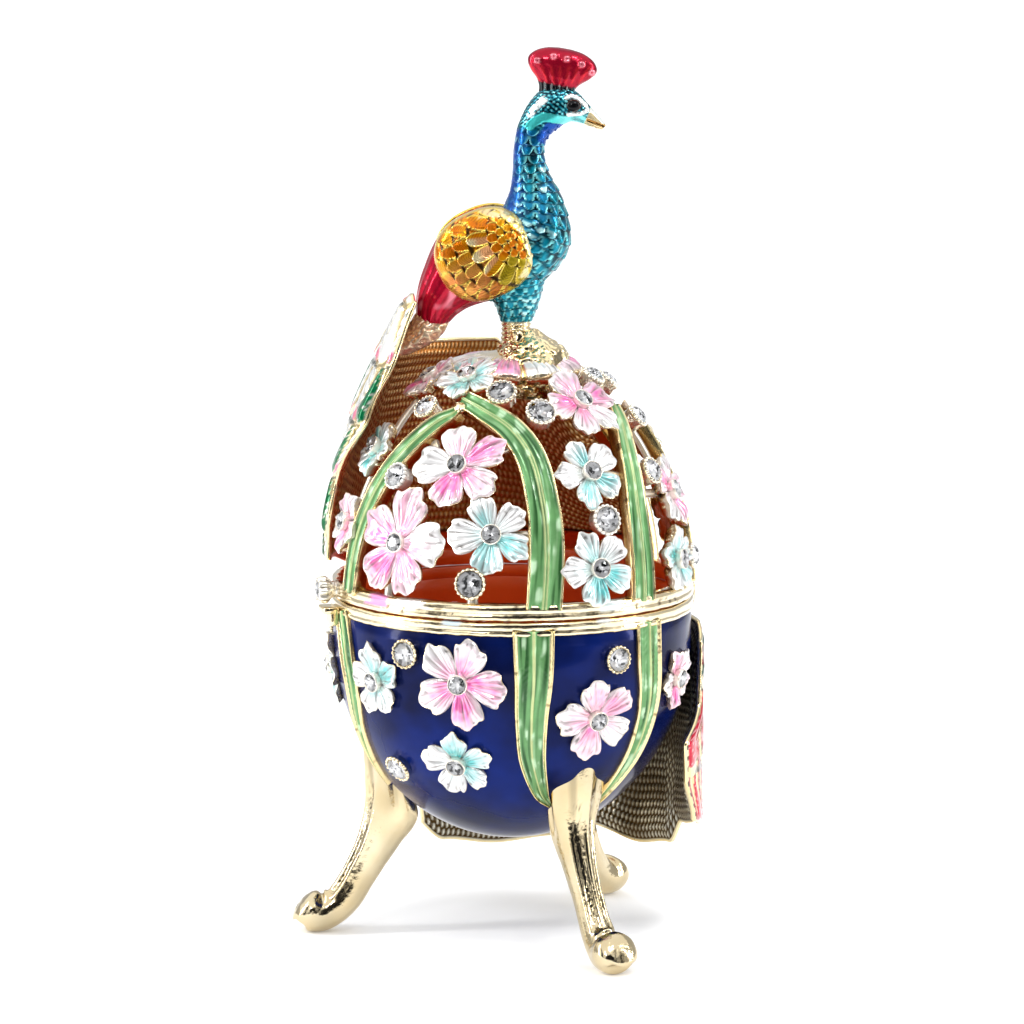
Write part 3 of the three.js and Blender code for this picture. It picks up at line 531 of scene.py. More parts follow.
# Five petals, each (direction, reach, wash), meet half way between their directions. In a petal the reach is a
# blunt arc with three lobes at its tip. The lift climbs from the heart to two shoulders and falls to the gaps,
# and grooves fan out from the heart.
def flower(place, sink, number):
    look = flowerLook
    rng = np.random.default_rng(100 + number)
    even = [((place.get("turn", 0) + 36 + 72 * k) % 360, 1, wash) for k, wash in enumerate((0.5, 0.9, 0.3, 1, 0.7))]
    petals = np.array(sorted((angle % 360, reach, wash) for angle, reach, wash in place.get("petals", even)))
    centre = petals[:, 0]
    gaps = np.diff(np.append(centre, centre[0] + 360))
    before, after = np.roll(gaps, 1) / 2, gaps / 2
    a = np.tile(np.linspace(-1, 1, 31)[:-1], 5)
    which = np.repeat(np.arange(5), 30)
    around = np.radians(centre[which] + np.where(a < 0, a * before[which], a * after[which]))
    lean = rng.uniform(-0.25, 0.25, 5)[which]
    lobes = 0.035 * np.cos((a - lean) * math.pi * 2.6 + lean * 6) + 0.018 * np.cos((a + lean) * 15)
    blunt = 0.42 + 0.58 * (1 - np.abs(a) ** 2.9) ** 0.55
    lobes = lobes + rng.uniform(-0.05, 0.13, 5)[which] * np.exp(-((a - lean) / 0.22) ** 2)
    reach = place["size"] * petals[which, 1] * (blunt + lobes * (1 - np.abs(a) ** 5))
    s = np.concatenate([[0.03, 0.12, 0.17, 0.2, 0.24], np.linspace(0.29, 0.93, 13), [0.965, 0.99, 1.0],
                        [1.0, 0.985, 0.9, 0.72, 0.5, 0.2, 0.03]])
    front = np.arange(len(s)) < 21
    S, A = np.meshgrid(s, a, indexing="ij")
    shoulder = np.exp(-((np.abs(A) - 0.5) / 0.34) ** 2)
    out = ease(S, look["heart"], 0.9)
    phase = A * 6.6 + lean * 3
    ribs = np.abs(np.sin(phase * math.pi / 2)) ** 0.7
    onPetal = ease(S, 0.22, 0.42) * (1 - ease(S, 0.86, 1.0)) * (1 - ease(np.abs(A), 0.8, 1))
    rings0 = np.stack([S * np.cos(around) * place["size"], S * np.sin(around) * place["size"], 0 * S], -1)
    lift = 0.35 + out * (0.5 + 0.45 * shoulder) - 0.55 * ease(np.abs(A), 0.72, 1) * ease(S, 0.18, 0.5)
    lift += 0.5 * (1 - ease(S, look["heart"] - 0.03, look["heart"] + 0.06)) + 0.24 * (ribs - 0.7) * onPetal
    lift += 0.2 * ripple(rings0, 3.4, 20 + number) * out + 0.14 * rng.uniform(-1, 1, 5)[which] * out * (1 - np.abs(A) ** 3) - 0.12 * ease(S, 0.95, 1.0)
    back = np.linspace(0.15, 1, (~front).sum())[:, None]
    under = lift[20] * (1 - ease(back, 0.15, 0.6)) - (sink + 0.25) * ease(back, 0.15, 0.6)
    lift = np.vstack([lift[front], under])
    base, normal, east, north = seat(place["azimuth"], place["height"])
    flat = base + (S * reach * np.cos(around))[..., None] * east + (S * reach * np.sin(around))[..., None] * north
    rings = drape(flat, lift)
    tint = np.array(look["aqua"] if place["tint"] == "aqua" else look["pink"])
    soft = (tint if place["tint"] == "aqua" else np.array(look["rose"])) * 0.5 + np.array(look["white"]) * 0.5
    strength = petals[which, 2]
    wash = np.clip(strength * 1.3 * np.exp(-((S - 0.3) / (0.16 + 0.42 * strength)) ** 2) * (0.65 + 0.5 * ribs), 0, 1)
    wash = wash * (1 - 0.6 * ease(np.abs(A - lean), 0.6, 1.0)) * (0.75 + 0.25 * ripple(rings, 1.6, 30 + number))
    warm = ease(ripple(rings, 7, 50 + number), -0.5, 0.5)
    # Painted shade in grey: in the rib valleys and along the petal sides (groove), in spots towards the tips
    # (shadeFlecks) and in fine streaks fanning to the tips (streak).
    groove = (1 - ease(ribs, 0.05, 0.5)) * onPetal * (0.35 + 0.5 * ease(ripple(rings, 2.5, 70 + number), -0.4, 0.6)) + ease(np.abs(A), 0.88, 1) * ease(S, 0.25, 0.4) * (1 - ease(S, 0.6, 0.9)) * 0.5
    shadeFlecks = ease(ripple(rings, 1.3, 80 + number), 0.7, 1.05) * ease(S, 0.55, 0.8)
    streak = ease(np.cos(A * 19 + lean * 9), 0.2, 0.95) * ease(S, 0.45, 0.75) * (1 - ease(S, 0.92, 0.97)) * ease(ripple(rings, 3, 60 + number), -0.3, 0.7)
    edge = ease(S, 0.965, 0.995) * (0.25 + 0.75 * ease(ripple(rings, 4, 90 + number), -0.2, 0.5)) * place.get("gilt", 0.8)
    paint = blendColours((look["white"], np.ones_like(S)), (soft, wash), (tint, np.clip(wash * 1.2, 0, 1) * (0.45 + 0.55 * warm)),
                         (look["groove"], groove), (look["groove"], np.clip(0.7 * shadeFlecks + 0.5 * streak, 0, 1)),
                         (look["gilt"], edge), (look["back"], (~front)[:, None] * (0.15 + 0.85 * ease(-lift, -0.3, 0.2))))
    return tube(rings, paint)


heartTint = (0.9, 0.88, 0.84, 0.35)


# The smooth round setting of the stone in a flower's heart.
def heartRing(place):
    r = np.array([1.5, 1.5, 1.49, 1.45, 1.39, 1.33, 1.29, 1.28]) * 1.13
    z = np.array([0.2, 1.2, 1.4, 1.5, 1.52, 1.46, 1.3, 0.2])
    rings = onSeat(lathe(np.stack([r, z], -1), 28), place)
    return tube(rings, np.broadcast_to(np.array(heartTint), rings.shape[:2] + (4,)), loop=True)


# A cup whose rim is a ring of beads: its radius and height swell with the cosine of the turn, once for each bead.
def beadCup(place, sink):
    size, beads = place["size"], 18
    profile = np.array([[0.3 / size, -sink], [0.9, -sink], [0.9, 0.2], [0.99, 0.55], [1.03, 0.85], [1.02, 1.1], [0.97, 1.3],
                        [0.92, 1.36], [0.87, 1.3], [0.83, 1.1], [0.82, 0.4], [0.3 / size, 0.3]]) * [size, 1]
    rings = lathe(profile, beads * 6)
    wave = np.cos(beads * np.linspace(0, 2 * math.pi, beads * 6, endpoint=False))[None, :]
    share = np.array([0, 0, 0.1, 0.5, 0.9, 1, 1, 1, 0.6, 0, 0, 0])[:, None]
    middle = size * 0.95
    radius = np.hypot(rings[..., 0], rings[..., 1])
    grown = middle + (radius - middle) * (1 + 0.35 * wave * share)
    rings = rings * np.stack([grown / radius, grown / radius, 1 + 0.1 * wave * share], -1)
    shade = 1 - 0.75 * ease(-wave * share, 0.35, 1)
    white = place.get("white", 0)
    paint = np.stack([shade + 0 * radius] * 3 + [np.full_like(radius, 1 - white)], -1)
    return tube(onSeat(rings, place), paint)


# A round brilliant: a table with eight sides, kites and triangles down to the girdle, and eight pavilion facets.
def brilliant(place, size, lift, depth, crownHigh, seated=None):
    girdle = lift + depth
    levels = [(0.56, girdle + crownHigh, 0, 1), (0.8, girdle + crownHigh * 0.62, 1, 1), (1, girdle + 0.04, 0, 0),
              (1, girdle - 0.04, 0, 0), (0.55, lift + depth * 0.45, 1, 1), (0.04, lift, 0, 1)]
    step = np.arange(16)
    rings = []
    for r, z, shift, paired in levels:
        turn = 2 * math.pi * ((step // 2 * 2 if paired else step) + shift) / 16
        rings.append(np.stack([size * r * np.cos(turn), size * r * np.sin(turn), np.full(16, z)], -1))
    ends = np.array([[[0, 0, girdle + crownHigh], [0, 0, lift]]])
    ids = np.arange(96).reshape(6, 16)
    k = np.arange(8) * 2
    n = (k + 2) % 16
    t0, t1, m0, m1 = ids[0, k], ids[0, n], ids[1, k], ids[1, n]
    g0, g1, g2 = ids[2, k], ids[2, k + 1], ids[2, n]
    h0, h1, h2 = ids[3, k], ids[3, k + 1], ids[3, n]
    p0, p1, q0, q1 = ids[4, k], ids[4, n], ids[5, k], ids[5, n]
    top, low = np.full(8, 96), np.full(8, 97)
    glass = [(top, t0, t1), (t0, m0, t1), (t0, g0, m0), (m0, g0, g1), (m0, g1, g2), (t1, m0, g2),
             (g0, h0, h1), (g0, h1, g1), (g1, h1, h2), (g1, h2, g2)]
    back = [(h0, p0, h1), (h1, p0, h2), (h0, q0, p0), (p0, q1, h2), (p0, q0, q1), (q0, low, q1)]
    corners = np.vstack([np.stack(face, -1) for face in glass + back])
    marks = np.repeat([0, 1], [8 * len(glass), 8 * len(back)])
    stand = seated or (lambda local: onSeat(local, place))
    points = np.vstack([stand(np.stack(rings)).reshape(-1, 3), stand(ends).reshape(-1, 3)])
    used, corners = np.unique(corners, return_inverse=True)
    return {"points": points[used], "quads": np.zeros((0, 4), int), "corners": corners.reshape(-1, 3),
            "paint": np.ones((len(used), 4)), "look": 0, "facets": marks}


print("helpers ready")
addCamera(egg)
addStudio()

# ---- bowl

bowlRibbons = [
    [(276.6, 57, 7), (276.7, 49, 6.4), (276.3, 42, 5.4), (277.4, 35, 4.4), (282, 29, 2.6), (288, 26.2, 0.5)],
    [(317.5, 57, 5.6), (318.1, 50.5, 5.6), (320.1, 42, 5), (319.6, 34, 3.8), (314, 26.5, 2), (310, 23.6, 0.5)],
    [(201.6, 57, 5), (205.6, 50.5, 5), (207, 44, 4.4), (203, 36, 3.2), (199, 30, 1.8), (196, 27, 0.5)],
    [(156, 57, 5), (154, 50.5, 5), (152, 42, 4.4), (154, 34, 3.2), (159, 27.5, 1.8), (163, 25, 0.5)],
]
bowlFlowers = [
    {"azimuth": 253.4, "height": 48.2, "size": 7.3, "tint": "pink",
     "petals": [(130, 1, 0.35), (72, 1, 0.6), (-12, 1.08, 0.9), (-75, 1.02, 1), (212, 0.98, 0.6)]},
    {"azimuth": 221.7, "height": 46.9, "size": 5.6, "tint": "aqua",
     "petals": [(100, 1.05, 0.7), (25, 1, 1), (-55, 1, 0.5), (-115, 1, 0.4), (170, 1, 0.1)]},
    {"azimuth": 250, "height": 34.1, "size": 5.7, "tint": "aqua",
     "petals": [(88, 1, 1), (18, 1.05, 0.8), (-42, 1, 0.6), (-102, 1, 0.3), (160, 1, 0.1)]},
    {"azimuth": 298.3, "height": 41.8, "size": 6.8, "tint": "pink",
     "petals": [(97, 1, 0.7), (35, 1.05, 1), (-30, 1, 0.4), (-105, 1, 0.9), (178, 1.02, 0.6)]},
    {"azimuth": 335.5, "height": 46.2, "size": 5, "turn": 10, "tint": "pink"},
    {"azimuth": 181, "height": 46.2, "size": 6, "turn": 30, "tint": "aqua"},
]
bowlCups = [
    {"azimuth": 235.6, "height": 52.4, "size": 2.4},
    {"azimuth": 222.7, "height": 32.2, "size": 2.4},
    {"azimuth": 304, "height": 51.6, "size": 2.3},
    {"azimuth": 166.5, "height": 51, "size": 2.2},
]


bowlSpills = [(251, 4, 57.4, (0.6, 0.75, 0.9, 0.1)), (300, 3, 57.6, (0.8, 0.85, 0.88, 0.1))]
hinge = {"azimuth": 16, "radius": 30.4, "slot": 3.3, "depth": 28.95}


# Draws a band in to the slot's depth where the hinge's knuckles turn, between two heights.
def cutSlot(rings, low, high):
    turn = math.radians(hinge["azimuth"])
    across = rings[..., 1] * math.cos(turn) - rings[..., 0] * math.sin(turn)
    out = rings[..., 0] * math.cos(turn) + rings[..., 1] * math.sin(turn)
    inSlot = (np.abs(across) < hinge["slot"]) & (out > 0) & (rings[..., 2] > low) & (rings[..., 2] < high)
    radius = np.hypot(rings[..., 0], rings[..., 1])
    draw = np.where(inSlot, np.minimum(1, hinge["depth"] / radius), 1)
    return rings * np.stack([draw, draw, np.ones_like(draw)], -1)


# A gold band: its (radius, height) section turned round the axis, with small dents along its lower moulding.
def band(section, low, high, seed, spills):
    rings = lathe(section, 300)
    rings[..., 2] += 0.05 * ripple(rings, 3.5, seed)
    rings = cutSlot(rings, low, high)
    stain = ease(ripple(rings, 1.6, seed + 1), 0.7, 1.0) * ease(ripple(rings, 26, seed + 2), -0.4, 0.2)
    spotted = blendColours(((1, 1, 1, 1), np.ones_like(stain)), ((0.1, 0.07, 0.03, 1), 0.85 * stain))
    azimuth = np.degrees(np.arctan2(rings[..., 1], rings[..., 0])) % 360
    for middle, half, floor, colour in spills:
        spread = np.abs(azimuth - middle) / half + 0.35 * ripple(rings, 3, seed + 3)
        spotted = blendWith(spotted, (colour, (1 - ease(spread, 0.6, 0.9)) * ease(rings[..., 2], floor, floor + 0.5)))
    made = tube(rings, spotted, loop=True)
    made["look"] = np.repeat([1 if max(r, s) < 28.5 else 0 for (r, _), (s, _) in zip(section, section[1:] + section[:1])], 300)
    level = np.array([abs(a[1] - b[1]) < 0.35 and abs(a[0] - b[0]) > 0.4 for a, b in zip(section, section[1:] + section[:1])])
    made["look"].reshape(-1, 300)[level, 20:140] = 1
    return made


def makeBowl():
    rim, seam = egg["rim"], egg["seam"]
    foot = seam - egg["bandHeight"]
    top = seam - egg["gap"] / 2
    inside = rim - egg["wall"]
    reach = rim + egg["bandReach"]
    outer = eggOutline(-89.6, 0, 60, 0)
    inner = eggOutline(0, -89.6, 50, -egg["wall"])
    middle = [[rim, 54], [rim, foot + 0.2], [rim - 0.3, foot + 0.5], [inside + 0.3, foot + 0.5], [inside, foot + 0.2], [inside, 54]]
    rings = lathe(np.vstack([outer, middle, inner]), 160)
    shell = tube(rings)
    shell["look"] = np.repeat(np.arange(len(rings) - 1) >= 63, 160).astype(int)
    makePiece("bowl", "base", [shell], [navy, lining], replaced=["egg_bowl"])
    section = [[rim - 0.05, foot - 0.1], [rim + 0.2, foot], [reach, foot + 0.3], [reach, foot + 0.7], [reach - 0.2, foot + 0.9],
               [reach - 0.06, foot + 1.1], [reach, foot + 1.4], [reach, top - 0.45], [reach - 0.12, top - 0.15],
               [reach - 0.4, top], [inside + 0.2, top], [inside, top - 0.2], [inside, foot + 0.3], [inside + 0.2, foot + 0.1]]
    makePiece("bowlBand", "base", [band(section, 57, 60, 3, bowlSpills)], [petalEnamel, lining])
    makePiece("bowlRibbons", "base", [ribbon(route, 0.6, 90, True) for route in bowlRibbons], [leafEnamel])
    makePiece("bowlFlowers", "base", [flower(place, 0.3, k) for k, place in enumerate(bowlFlowers)], [petalEnamel])
    makePiece("bowlCups", "base", [beadCup(place, 0.4) for place in bowlCups] + [heartRing(place) for place in bowlFlowers],
              [petalEnamel])
    makePiece("bowlStones", "base", setStones(bowlCups, bowlFlowers), [crystal, foil], flat=True,
              replaced=[f"bowl_stone_{k + 1}" for k in range(4)] + [f"bowl_flower_stone_{k + 1}" for k in range(6)])


def setStones(cups, flowers):
    large = [brilliant(place, place["size"] * 0.82, 0.35, 0.9, 0.7) for place in cups]
    return large + [brilliant(place, 1.46, 0.85, 0.62, 0.42) for place in flowers]


makeBowl()

# ---- lid

lidRibbons = [
    [(241.5, 91, 1.2), (238, 90.2, 2.4), (230.7, 88.5, 3.6), (222, 84.6, 4), (214.6, 79, 4.2), (210, 71.5, 4.2), (207.6, 60.5, 4)],
    [(240, 92.6, 3.2), (254, 91.2, 3.8), (268.8, 88.6, 4.6), (277.4, 84.2, 5.2), (280.6, 77, 5.6), (281, 70, 6), (279.8, 60.5, 6)],
    [(335, 91, 3), (324.5, 85.2, 3.8), (318.9, 78.3, 4.4), (316.4, 71.5, 4.8), (315.2, 60.5, 5)],
    [(3, 88, 3), (2, 78, 4), (2, 60.5, 4.6)],
    [(50, 85, 3), (42, 75, 4), (39, 60.5, 4.6)],
]
lidFlowers = [
    {"azimuth": 248.7, "height": 82.8, "size": 7.2, "tint": "pink",
     "petals": [(95, 1, 0.6), (32, 1.12, 1), (-28, 1.04, 0.7), (-106, 1, 1), (181, 1.06, 0)]},
    {"azimuth": 230.2, "height": 70.1, "size": 8.6, "tint": "pink",
     "petals": [(80, 1.06, 1), (150, 0.97, 1), (236, 1.03, 1), (292, 1, 1), (5, 1.08, 0.45)]},
    {"azimuth": 263.2, "height": 72.4, "size": 6.3, "tint": "aqua",
     "petals": [(112, 1, 0.5), (43, 1, 0.15), (-25, 1, 0.8), (-94, 1, 1), (178, 1.12, 0.15)]},
    {"azimuth": 311, "height": 92, "size": 6.8, "tint": "pink",
     "petals": [(8, 1, 1), (-50, 1, 0.3), (-110, 1, 0.6), (185, 1, 0.9), (100, 1, 0.7)]},
    {"azimuth": 300.4, "height": 81.6, "size": 5.8, "tint": "aqua",
     "petals": [(120, 1, 0.7), (42, 1, 0.1), (-42, 1, 0.8), (-104, 1, 0.9), (176, 1.05, 0.1)]},
    {"azimuth": 298.1, "height": 66.7, "size": 6.2, "tint": "aqua",
     "petals": [(115, 1, 0.6), (46, 1, 0.25), (-27, 1, 0.9), (-98, 1, 1), (180, 1.03, 0.3)]},
    {"azimuth": 233, "height": 95.6, "size": 5.4, "turn": 20, "tint": "aqua"},
    {"azimuth": 345, "height": 76.6, "size": 6.2, "turn": 36, "tint": "pink"},
    {"azimuth": 337, "height": 65.9, "size": 5.4, "turn": 54, "tint": "aqua"},
    {"azimuth": 190, "height": 94.6, "size": 5, "turn": 8, "tint": "pink"},
    {"azimuth": 199, "height": 83.6, "size": 4.8, "turn": 40, "tint": "aqua"},
    {"azimuth": 197.5, "height": 71.4, "size": 5.2, "turn": 18, "tint": "pink"},
    {"azimuth": 21, "height": 70, "size": 6.4, "turn": 54, "tint": "aqua"},
    {"azimuth": 25, "height": 84, "size": 6.2, "turn": 0, "tint": "pink"},
    {"azimuth": 60, "height": 94.4, "size": 5.8, "turn": 12, "tint": "aqua"},
]
lidCups = [dict(zip(("azimuth", "height", "size", "white"), cup)) for cup in (
    (257.1, 64.6, 2.55, 0.1), (223.4, 80.2, 2.25, 0.8), (221.3, 90.6, 2.2, 0.2), (263.3, 93.4, 2.5, 0.3), (284, 90.6, 2.5, 0.5),
    (302.4, 74.1, 2.5, 0.6), (331.5, 80.4, 2.3, 0.3), (342.6, 94.7, 2, 0.5), (348, 88.2, 2.1, 0.3), (350, 65.4, 2.1, 0.5),
    (14, 93, 2.1, 0.4))]
lidStems = [
    [(226, 68, 1.8), (225, 60.5, 1.8)], [(266, 72.4, 1.6), (277, 72.6, 1.6)], [(238, 84, 1.6), (229, 87.6, 1.6)],
    [(257, 85, 1.6), (274.5, 87.2, 1.6)], [(221.3, 90.6, 1.6), (231, 88.4, 1.6)], [(257, 63, 2), (257, 60.5, 2)],
    [(298, 63, 1.6), (298, 60.5, 1.6)], [(337, 65, 1.8), (337, 60.5, 1.8)], [(197.5, 69, 1.6), (198, 60.5, 1.6)],
    [(197.5, 74, 1.6), (198.5, 82, 1.6)], [(198, 86, 1.6), (192, 92, 1.6)], [(21, 66, 1.6), (21, 60.5, 1.6)],
    [(22, 74, 1.6), (24, 80, 1.6)], [(289, 66.7, 1.6), (282, 66.7, 1.6)], [(308, 81.6, 1.6), (321, 80.6, 1.6)],
    [(320, 78, 1.6), (340, 77, 1.6)], [(320, 92.6, 1.6), (342.6, 94.7, 1.6)], [(342.6, 94.7, 1.6), (374, 93, 1.6)],
    [(348, 90, 1.6), (345, 79, 1.6)], [(374, 93, 1.6), (395, 94, 1.6)],
]
lidSpills = [(223, 6.5, 59.3, (0.88, 0.3, 0.6, 0)), (237, 6, 59.8, (0.82, 0.8, 0.82, 0.1)), (303, 5, 59.4, (0.75, 0.85, 0.86, 0.1))]
crown = {"reach": 68, "lobes": 9, "rise": 0.7, "pinks": [0.9, 0.1, 0, 0.6, 0, 0.2, 0.8, 0, 0.3]}


# A round wire between two places on the skin, half sunk in it.
def stem(route):
    line = smoothLine(route, 16)
    base = skin(line[:, 0], line[:, 1])
    normal = unit(skin(line[:, 0], line[:, 1], 1.0) - base)
    side = np.cross(normal, unit(np.gradient(base, axis=0)))
    turn = np.linspace(0, 2 * math.pi, 12, endpoint=False)
    wide = line[:, 2][:, None, None] / 2
    flat = base[:, None] + side[:, None] * wide * np.cos(turn)[None, :, None]
    paint = np.broadcast_to(np.array(flowerLook["white"][:3] + (0.45,)), flat.shape[:2] + (4,))
    return tube(drape(flat, line[:, 3:4] + 0.65 * np.sin(turn)[None, :]), paint)


# The cap under the perch. Petals lie round its edge: the lift swells with the cosine of the turn.
def lidCrown():
    sides = 270
    turn = np.linspace(0, 2 * math.pi, sides, endpoint=False)
    outer = eggOutline(89.5, crown["reach"], 34, 0.2)
    inner = eggOutline(crown["reach"], 89.5, 10, -1.5)
    rings = lathe(np.vstack([outer, inner]), sides)
    s = np.concatenate([np.linspace(0, 1, 34), np.linspace(1, 0, 10)])[:, None]
    front = np.arange(44)[:, None] < 34
    place = turn * crown["lobes"] / (2 * math.pi)
    a = (place % 1 * 2 - 1)[None, :]
    ribs = np.abs(np.sin((a * 6.4 + 0.6 * np.sin(place)) * math.pi / 2)) ** 0.7
    swell = crown["rise"] * ease(s, 0.4, 0.85) * (1 - np.abs(a) ** 2.6) + 0.22 * (ribs - 0.7) * ease(s, 0.35, 0.6) - 0.5 * ease(s, 0.9, 1)
    lobes = -0.13 + 0.17 * (1 - np.abs(a) ** 2.6) ** 0.5 + 0.012 * np.cos(a * 9)
    rings = rings * np.stack([1 + lobes * ease(s, 0.6, 1)] * 2 + [1 + 0 * a * s], -1)
    rings[..., 2] += np.where(front, swell, 0)
    pink = np.array(crown["pinks"])[place.astype(int)][None, :] * ease(s, 0.45, 0.7) * (0.5 + 0.5 * ribs)
    # groove is grey painted shade, in the rib valleys and in patches over the petals.
    groove = (1 - ease(ribs, 0.05, 0.5)) * ease(s, 0.4, 0.6) * 0.7 + 0.5 * ease(ripple(rings, 2.6, 40), 0.3, 0.9)
    gilt = np.where(front, np.clip(1 - ease(s, 0.35, 0.6) + ease(np.abs(a), 0.84, 0.94) + 0.7 * ease(s, 0.96, 0.99), 0, 1), 1)
    paint = blendColours((flowerLook["white"], 1 + 0 * gilt), (flowerLook["pink"], pink), (flowerLook["groove"], np.clip(groove, 0, 1)),
                         ((1, 0.95, 0.85, 1), gilt))
    return tube(rings, paint)


def makeLid():
    rim, seam = egg["rim"], egg["seam"]
    foot, top = seam + egg["gap"] / 2, seam + egg["bandHeight"] + 0.4
    inside, reach = rim - egg["wall"], rim + egg["bandReach"]
    section = [[inside + 0.2, foot], [reach - 0.3, foot], [reach - 0.05, foot + 0.15], [reach, foot + 0.5], [reach - 0.03, foot + 0.9],
               [reach - 0.2, foot + 1.1], [reach - 0.22, foot + 1.25], [reach - 0.08, foot + 1.5], [reach - 0.1, top - 0.6],
               [reach - 0.25, top - 0.2], [rim - 0.1, top], [inside + 0.2, top], [inside, top - 0.2], [inside, foot + 0.2]]
    makePiece("lidBand", "lid", [band(section, 57, 60.2, 6, lidSpills)], [petalEnamel, lining], replaced=["egg_lid"])
    makePiece("lidRibbons", "lid", [ribbon(route, 1.7, 110, False) for route in lidRibbons], [leafEnamel])
    makePiece("lidFlowers", "lid", [flower(place, 1.0, 10 + k) for k, place in enumerate(lidFlowers)], [petalEnamel])
    makePiece("lidCrown", "lid", [lidCrown()], [petalEnamel])
    wires = [stem([stop + (-1.3,) for stop in route]) for route in lidStems]
    knob = stem([(238.6, 90.9, 1.6, -0.1), (240.5, 91.4, 2.8, 0.25), (242.4, 91.9, 1.6, -0.1)])
    knob["paint"] = np.ones_like(knob["paint"])
    makePiece("lidStems", "lid", wires + [knob], [petalEnamel])
    makePiece("lidCups", "lid", [beadCup(place, 1.0) for place in lidCups], [petalEnamel])
    makePiece("lidHearts", "lid", [heartRing(place) for place in lidFlowers], [petalEnamel])
    makePiece("lidStones", "lid", setStones(lidCups, lidFlowers), [crystal, foil], flat=True,
              replaced=[f"lid_stone_{k + 1}" for k in range(11)] + [f"lid_flower_stone_{k + 1}" for k in range(15)])


makeLid()

# ---- legs

leg = {"turns": {"leg_left": 180, "leg_front_right": 300, "leg_back": 60}, "rows": 160, "around": 80, "channel": 0.4, "lip": 0.7,
       "stations": [(21.6, 31.5, 6.0, 5.2, 56), (20.6, 27.4, 6.4, 4.4, 48), (20.2, 21.6, 4.9, 3.3, 32), (22.2, 16.2, 3.5, 2.6, 22),
                    (25.2, 10.6, 2.8, 2.3, 28), (28, 6, 2.8, 2.6, 44), (31, 3.5, 3.0, 3.2, 76), (33.4, 3.5, 3.5, 3.8, 98),
                    (35.1, 3.8, 3.2, 3.5, 112), (36.1, 4.1, 2.0, 2.4, 118), (36.42, 4.2, 0.5, 0.6, 120)]}


# The lift over the bowl's skin of points outside or inside it.
def liftOver(points):
    up = points[..., 2] - egg["belly"]
    spread = np.sqrt((points[..., :2] ** 2).sum(-1) / egg["rim"] ** 2 + (np.minimum(up, 0) / egg["drop"]) ** 2)
    onSkin = points.copy()
    onSkin[..., :2] /= spread[..., None]
    onSkin[..., 2] = egg["belly"] + up / spread
    return np.linalg.norm(points - onSkin, axis=-1) * np.sign(spread - 1) * 0.93


# Rings across a curved limb. The outside carries two stippled channels between three smooth ridges, the top
# ends in ragged leaves that lie on the bowl, and the toe is hollowed like a spoon.
def legSurface(look):
    rows, around = look["rows"], look["around"]
    line = smoothLine(look["stations"], rows)
    s = np.linspace(0, 1, rows)[:, None]
    turn = np.linspace(0, 2 * math.pi, around, endpoint=False)[None, :]
    out, up, thick, wide, lean = (line[:, k:k + 1] for k in range(5))
    off = (turn + math.pi) % (2 * math.pi) - math.pi
    face = np.degrees(np.abs(off))
    carved = ease(s, 0.14, 0.2) * (1 - ease(s, 0.5, 0.56))
    channel = np.exp(-((face - 26) / 13) ** 4) * carved
    ridge = np.exp(-((face - 52) / 9) ** 2) * carved + np.exp(-(face / 8) ** 2) * carved
    dots = ripple(np.stack([np.cos(turn) * 5 + 0 * s, np.sin(turn) * 5 + 0 * s, s * 45 + 0 * turn], -1), 0.7, 22) * channel
    knob = np.exp(-((s - 0.58) / 0.028) ** 2) * np.exp(-(face / 40) ** 2)
    flutes = np.cos(off * 5) * (1 - ease(s, 0.16, 0.24)) * (1 - ease(face, 95, 120))
    spoon = np.exp(-((s - 0.8) / 0.06) ** 4) * np.exp(-((face - 180) / 48) ** 4)
    swell = 0.28 * ridge - look["channel"] * channel + 0.1 * dots + 0.55 * knob + 0.3 * flutes - 1.25 * spoon
    lean = np.radians(lean)
    x = out + (thick + swell) * np.cos(lean) * np.cos(turn)
    z = up + (thick + swell) * np.sin(lean) * np.cos(turn)
    y = (wide + swell * 0.8) * np.sin(turn) * (1 + 0.12 * flutes)
    points = np.stack([x, y, z], -1)
    points += 0.07 * ripple(points, 3.2, 21)[..., None] * unit(points * [0, 1, 1])
    lift = liftOver(points)
    tips = 0.035 * np.abs(np.sin(off * 2.2 + 0.9)) + 0.012 * np.sin(off * 8) + 0.03 * ease(face, 60, 100)
    held = np.where(s > 0.15 + tips, look["lip"], -0.6) * (1 - ease(s, 0.2, 0.3)) - 0.6 * ease(s, 0.2, 0.3)
    held = np.where(face > 105, -0.6, held)
    points = np.where((lift < held)[..., None] & (points[..., 2:] < 45), drape(points, np.maximum(lift, held)), points)
    points[..., 2] = np.maximum(points[..., 2], 0)
    dark = 0.75 * ease(-dots, 0.0, 0.7) + 0.35 * ease(-flutes, 0.4, 1)
    # The legs' gold is darkened overall to about 0.72 as painted shade, and its tone varies at random around that.
    shadeAndTone = 0.72 + 0.09 * ripple(points, 9, 23)
    paint = np.stack([(1 - dark) * shadeAndTone * share for share in (1, 0.99, 0.96)] + [np.ones_like(x)], -1)
    return points, paint


def turnAbout(points, azimuth):
    c, d = math.cos(math.radians(azimuth)), math.sin(math.radians(azimuth))
    return points @ np.array([[c, d, 0], [-d, c, 0], [0, 0, 1]])


def makeLegs():
    points, paint = legSurface(leg)
    for node, azimuth in leg["turns"].items():
        makePiece("dressed_" + node, "base", [tube(turnAbout(points, azimuth), paint)], [gold], replaced=[node])


makeLegs()

# ---- train

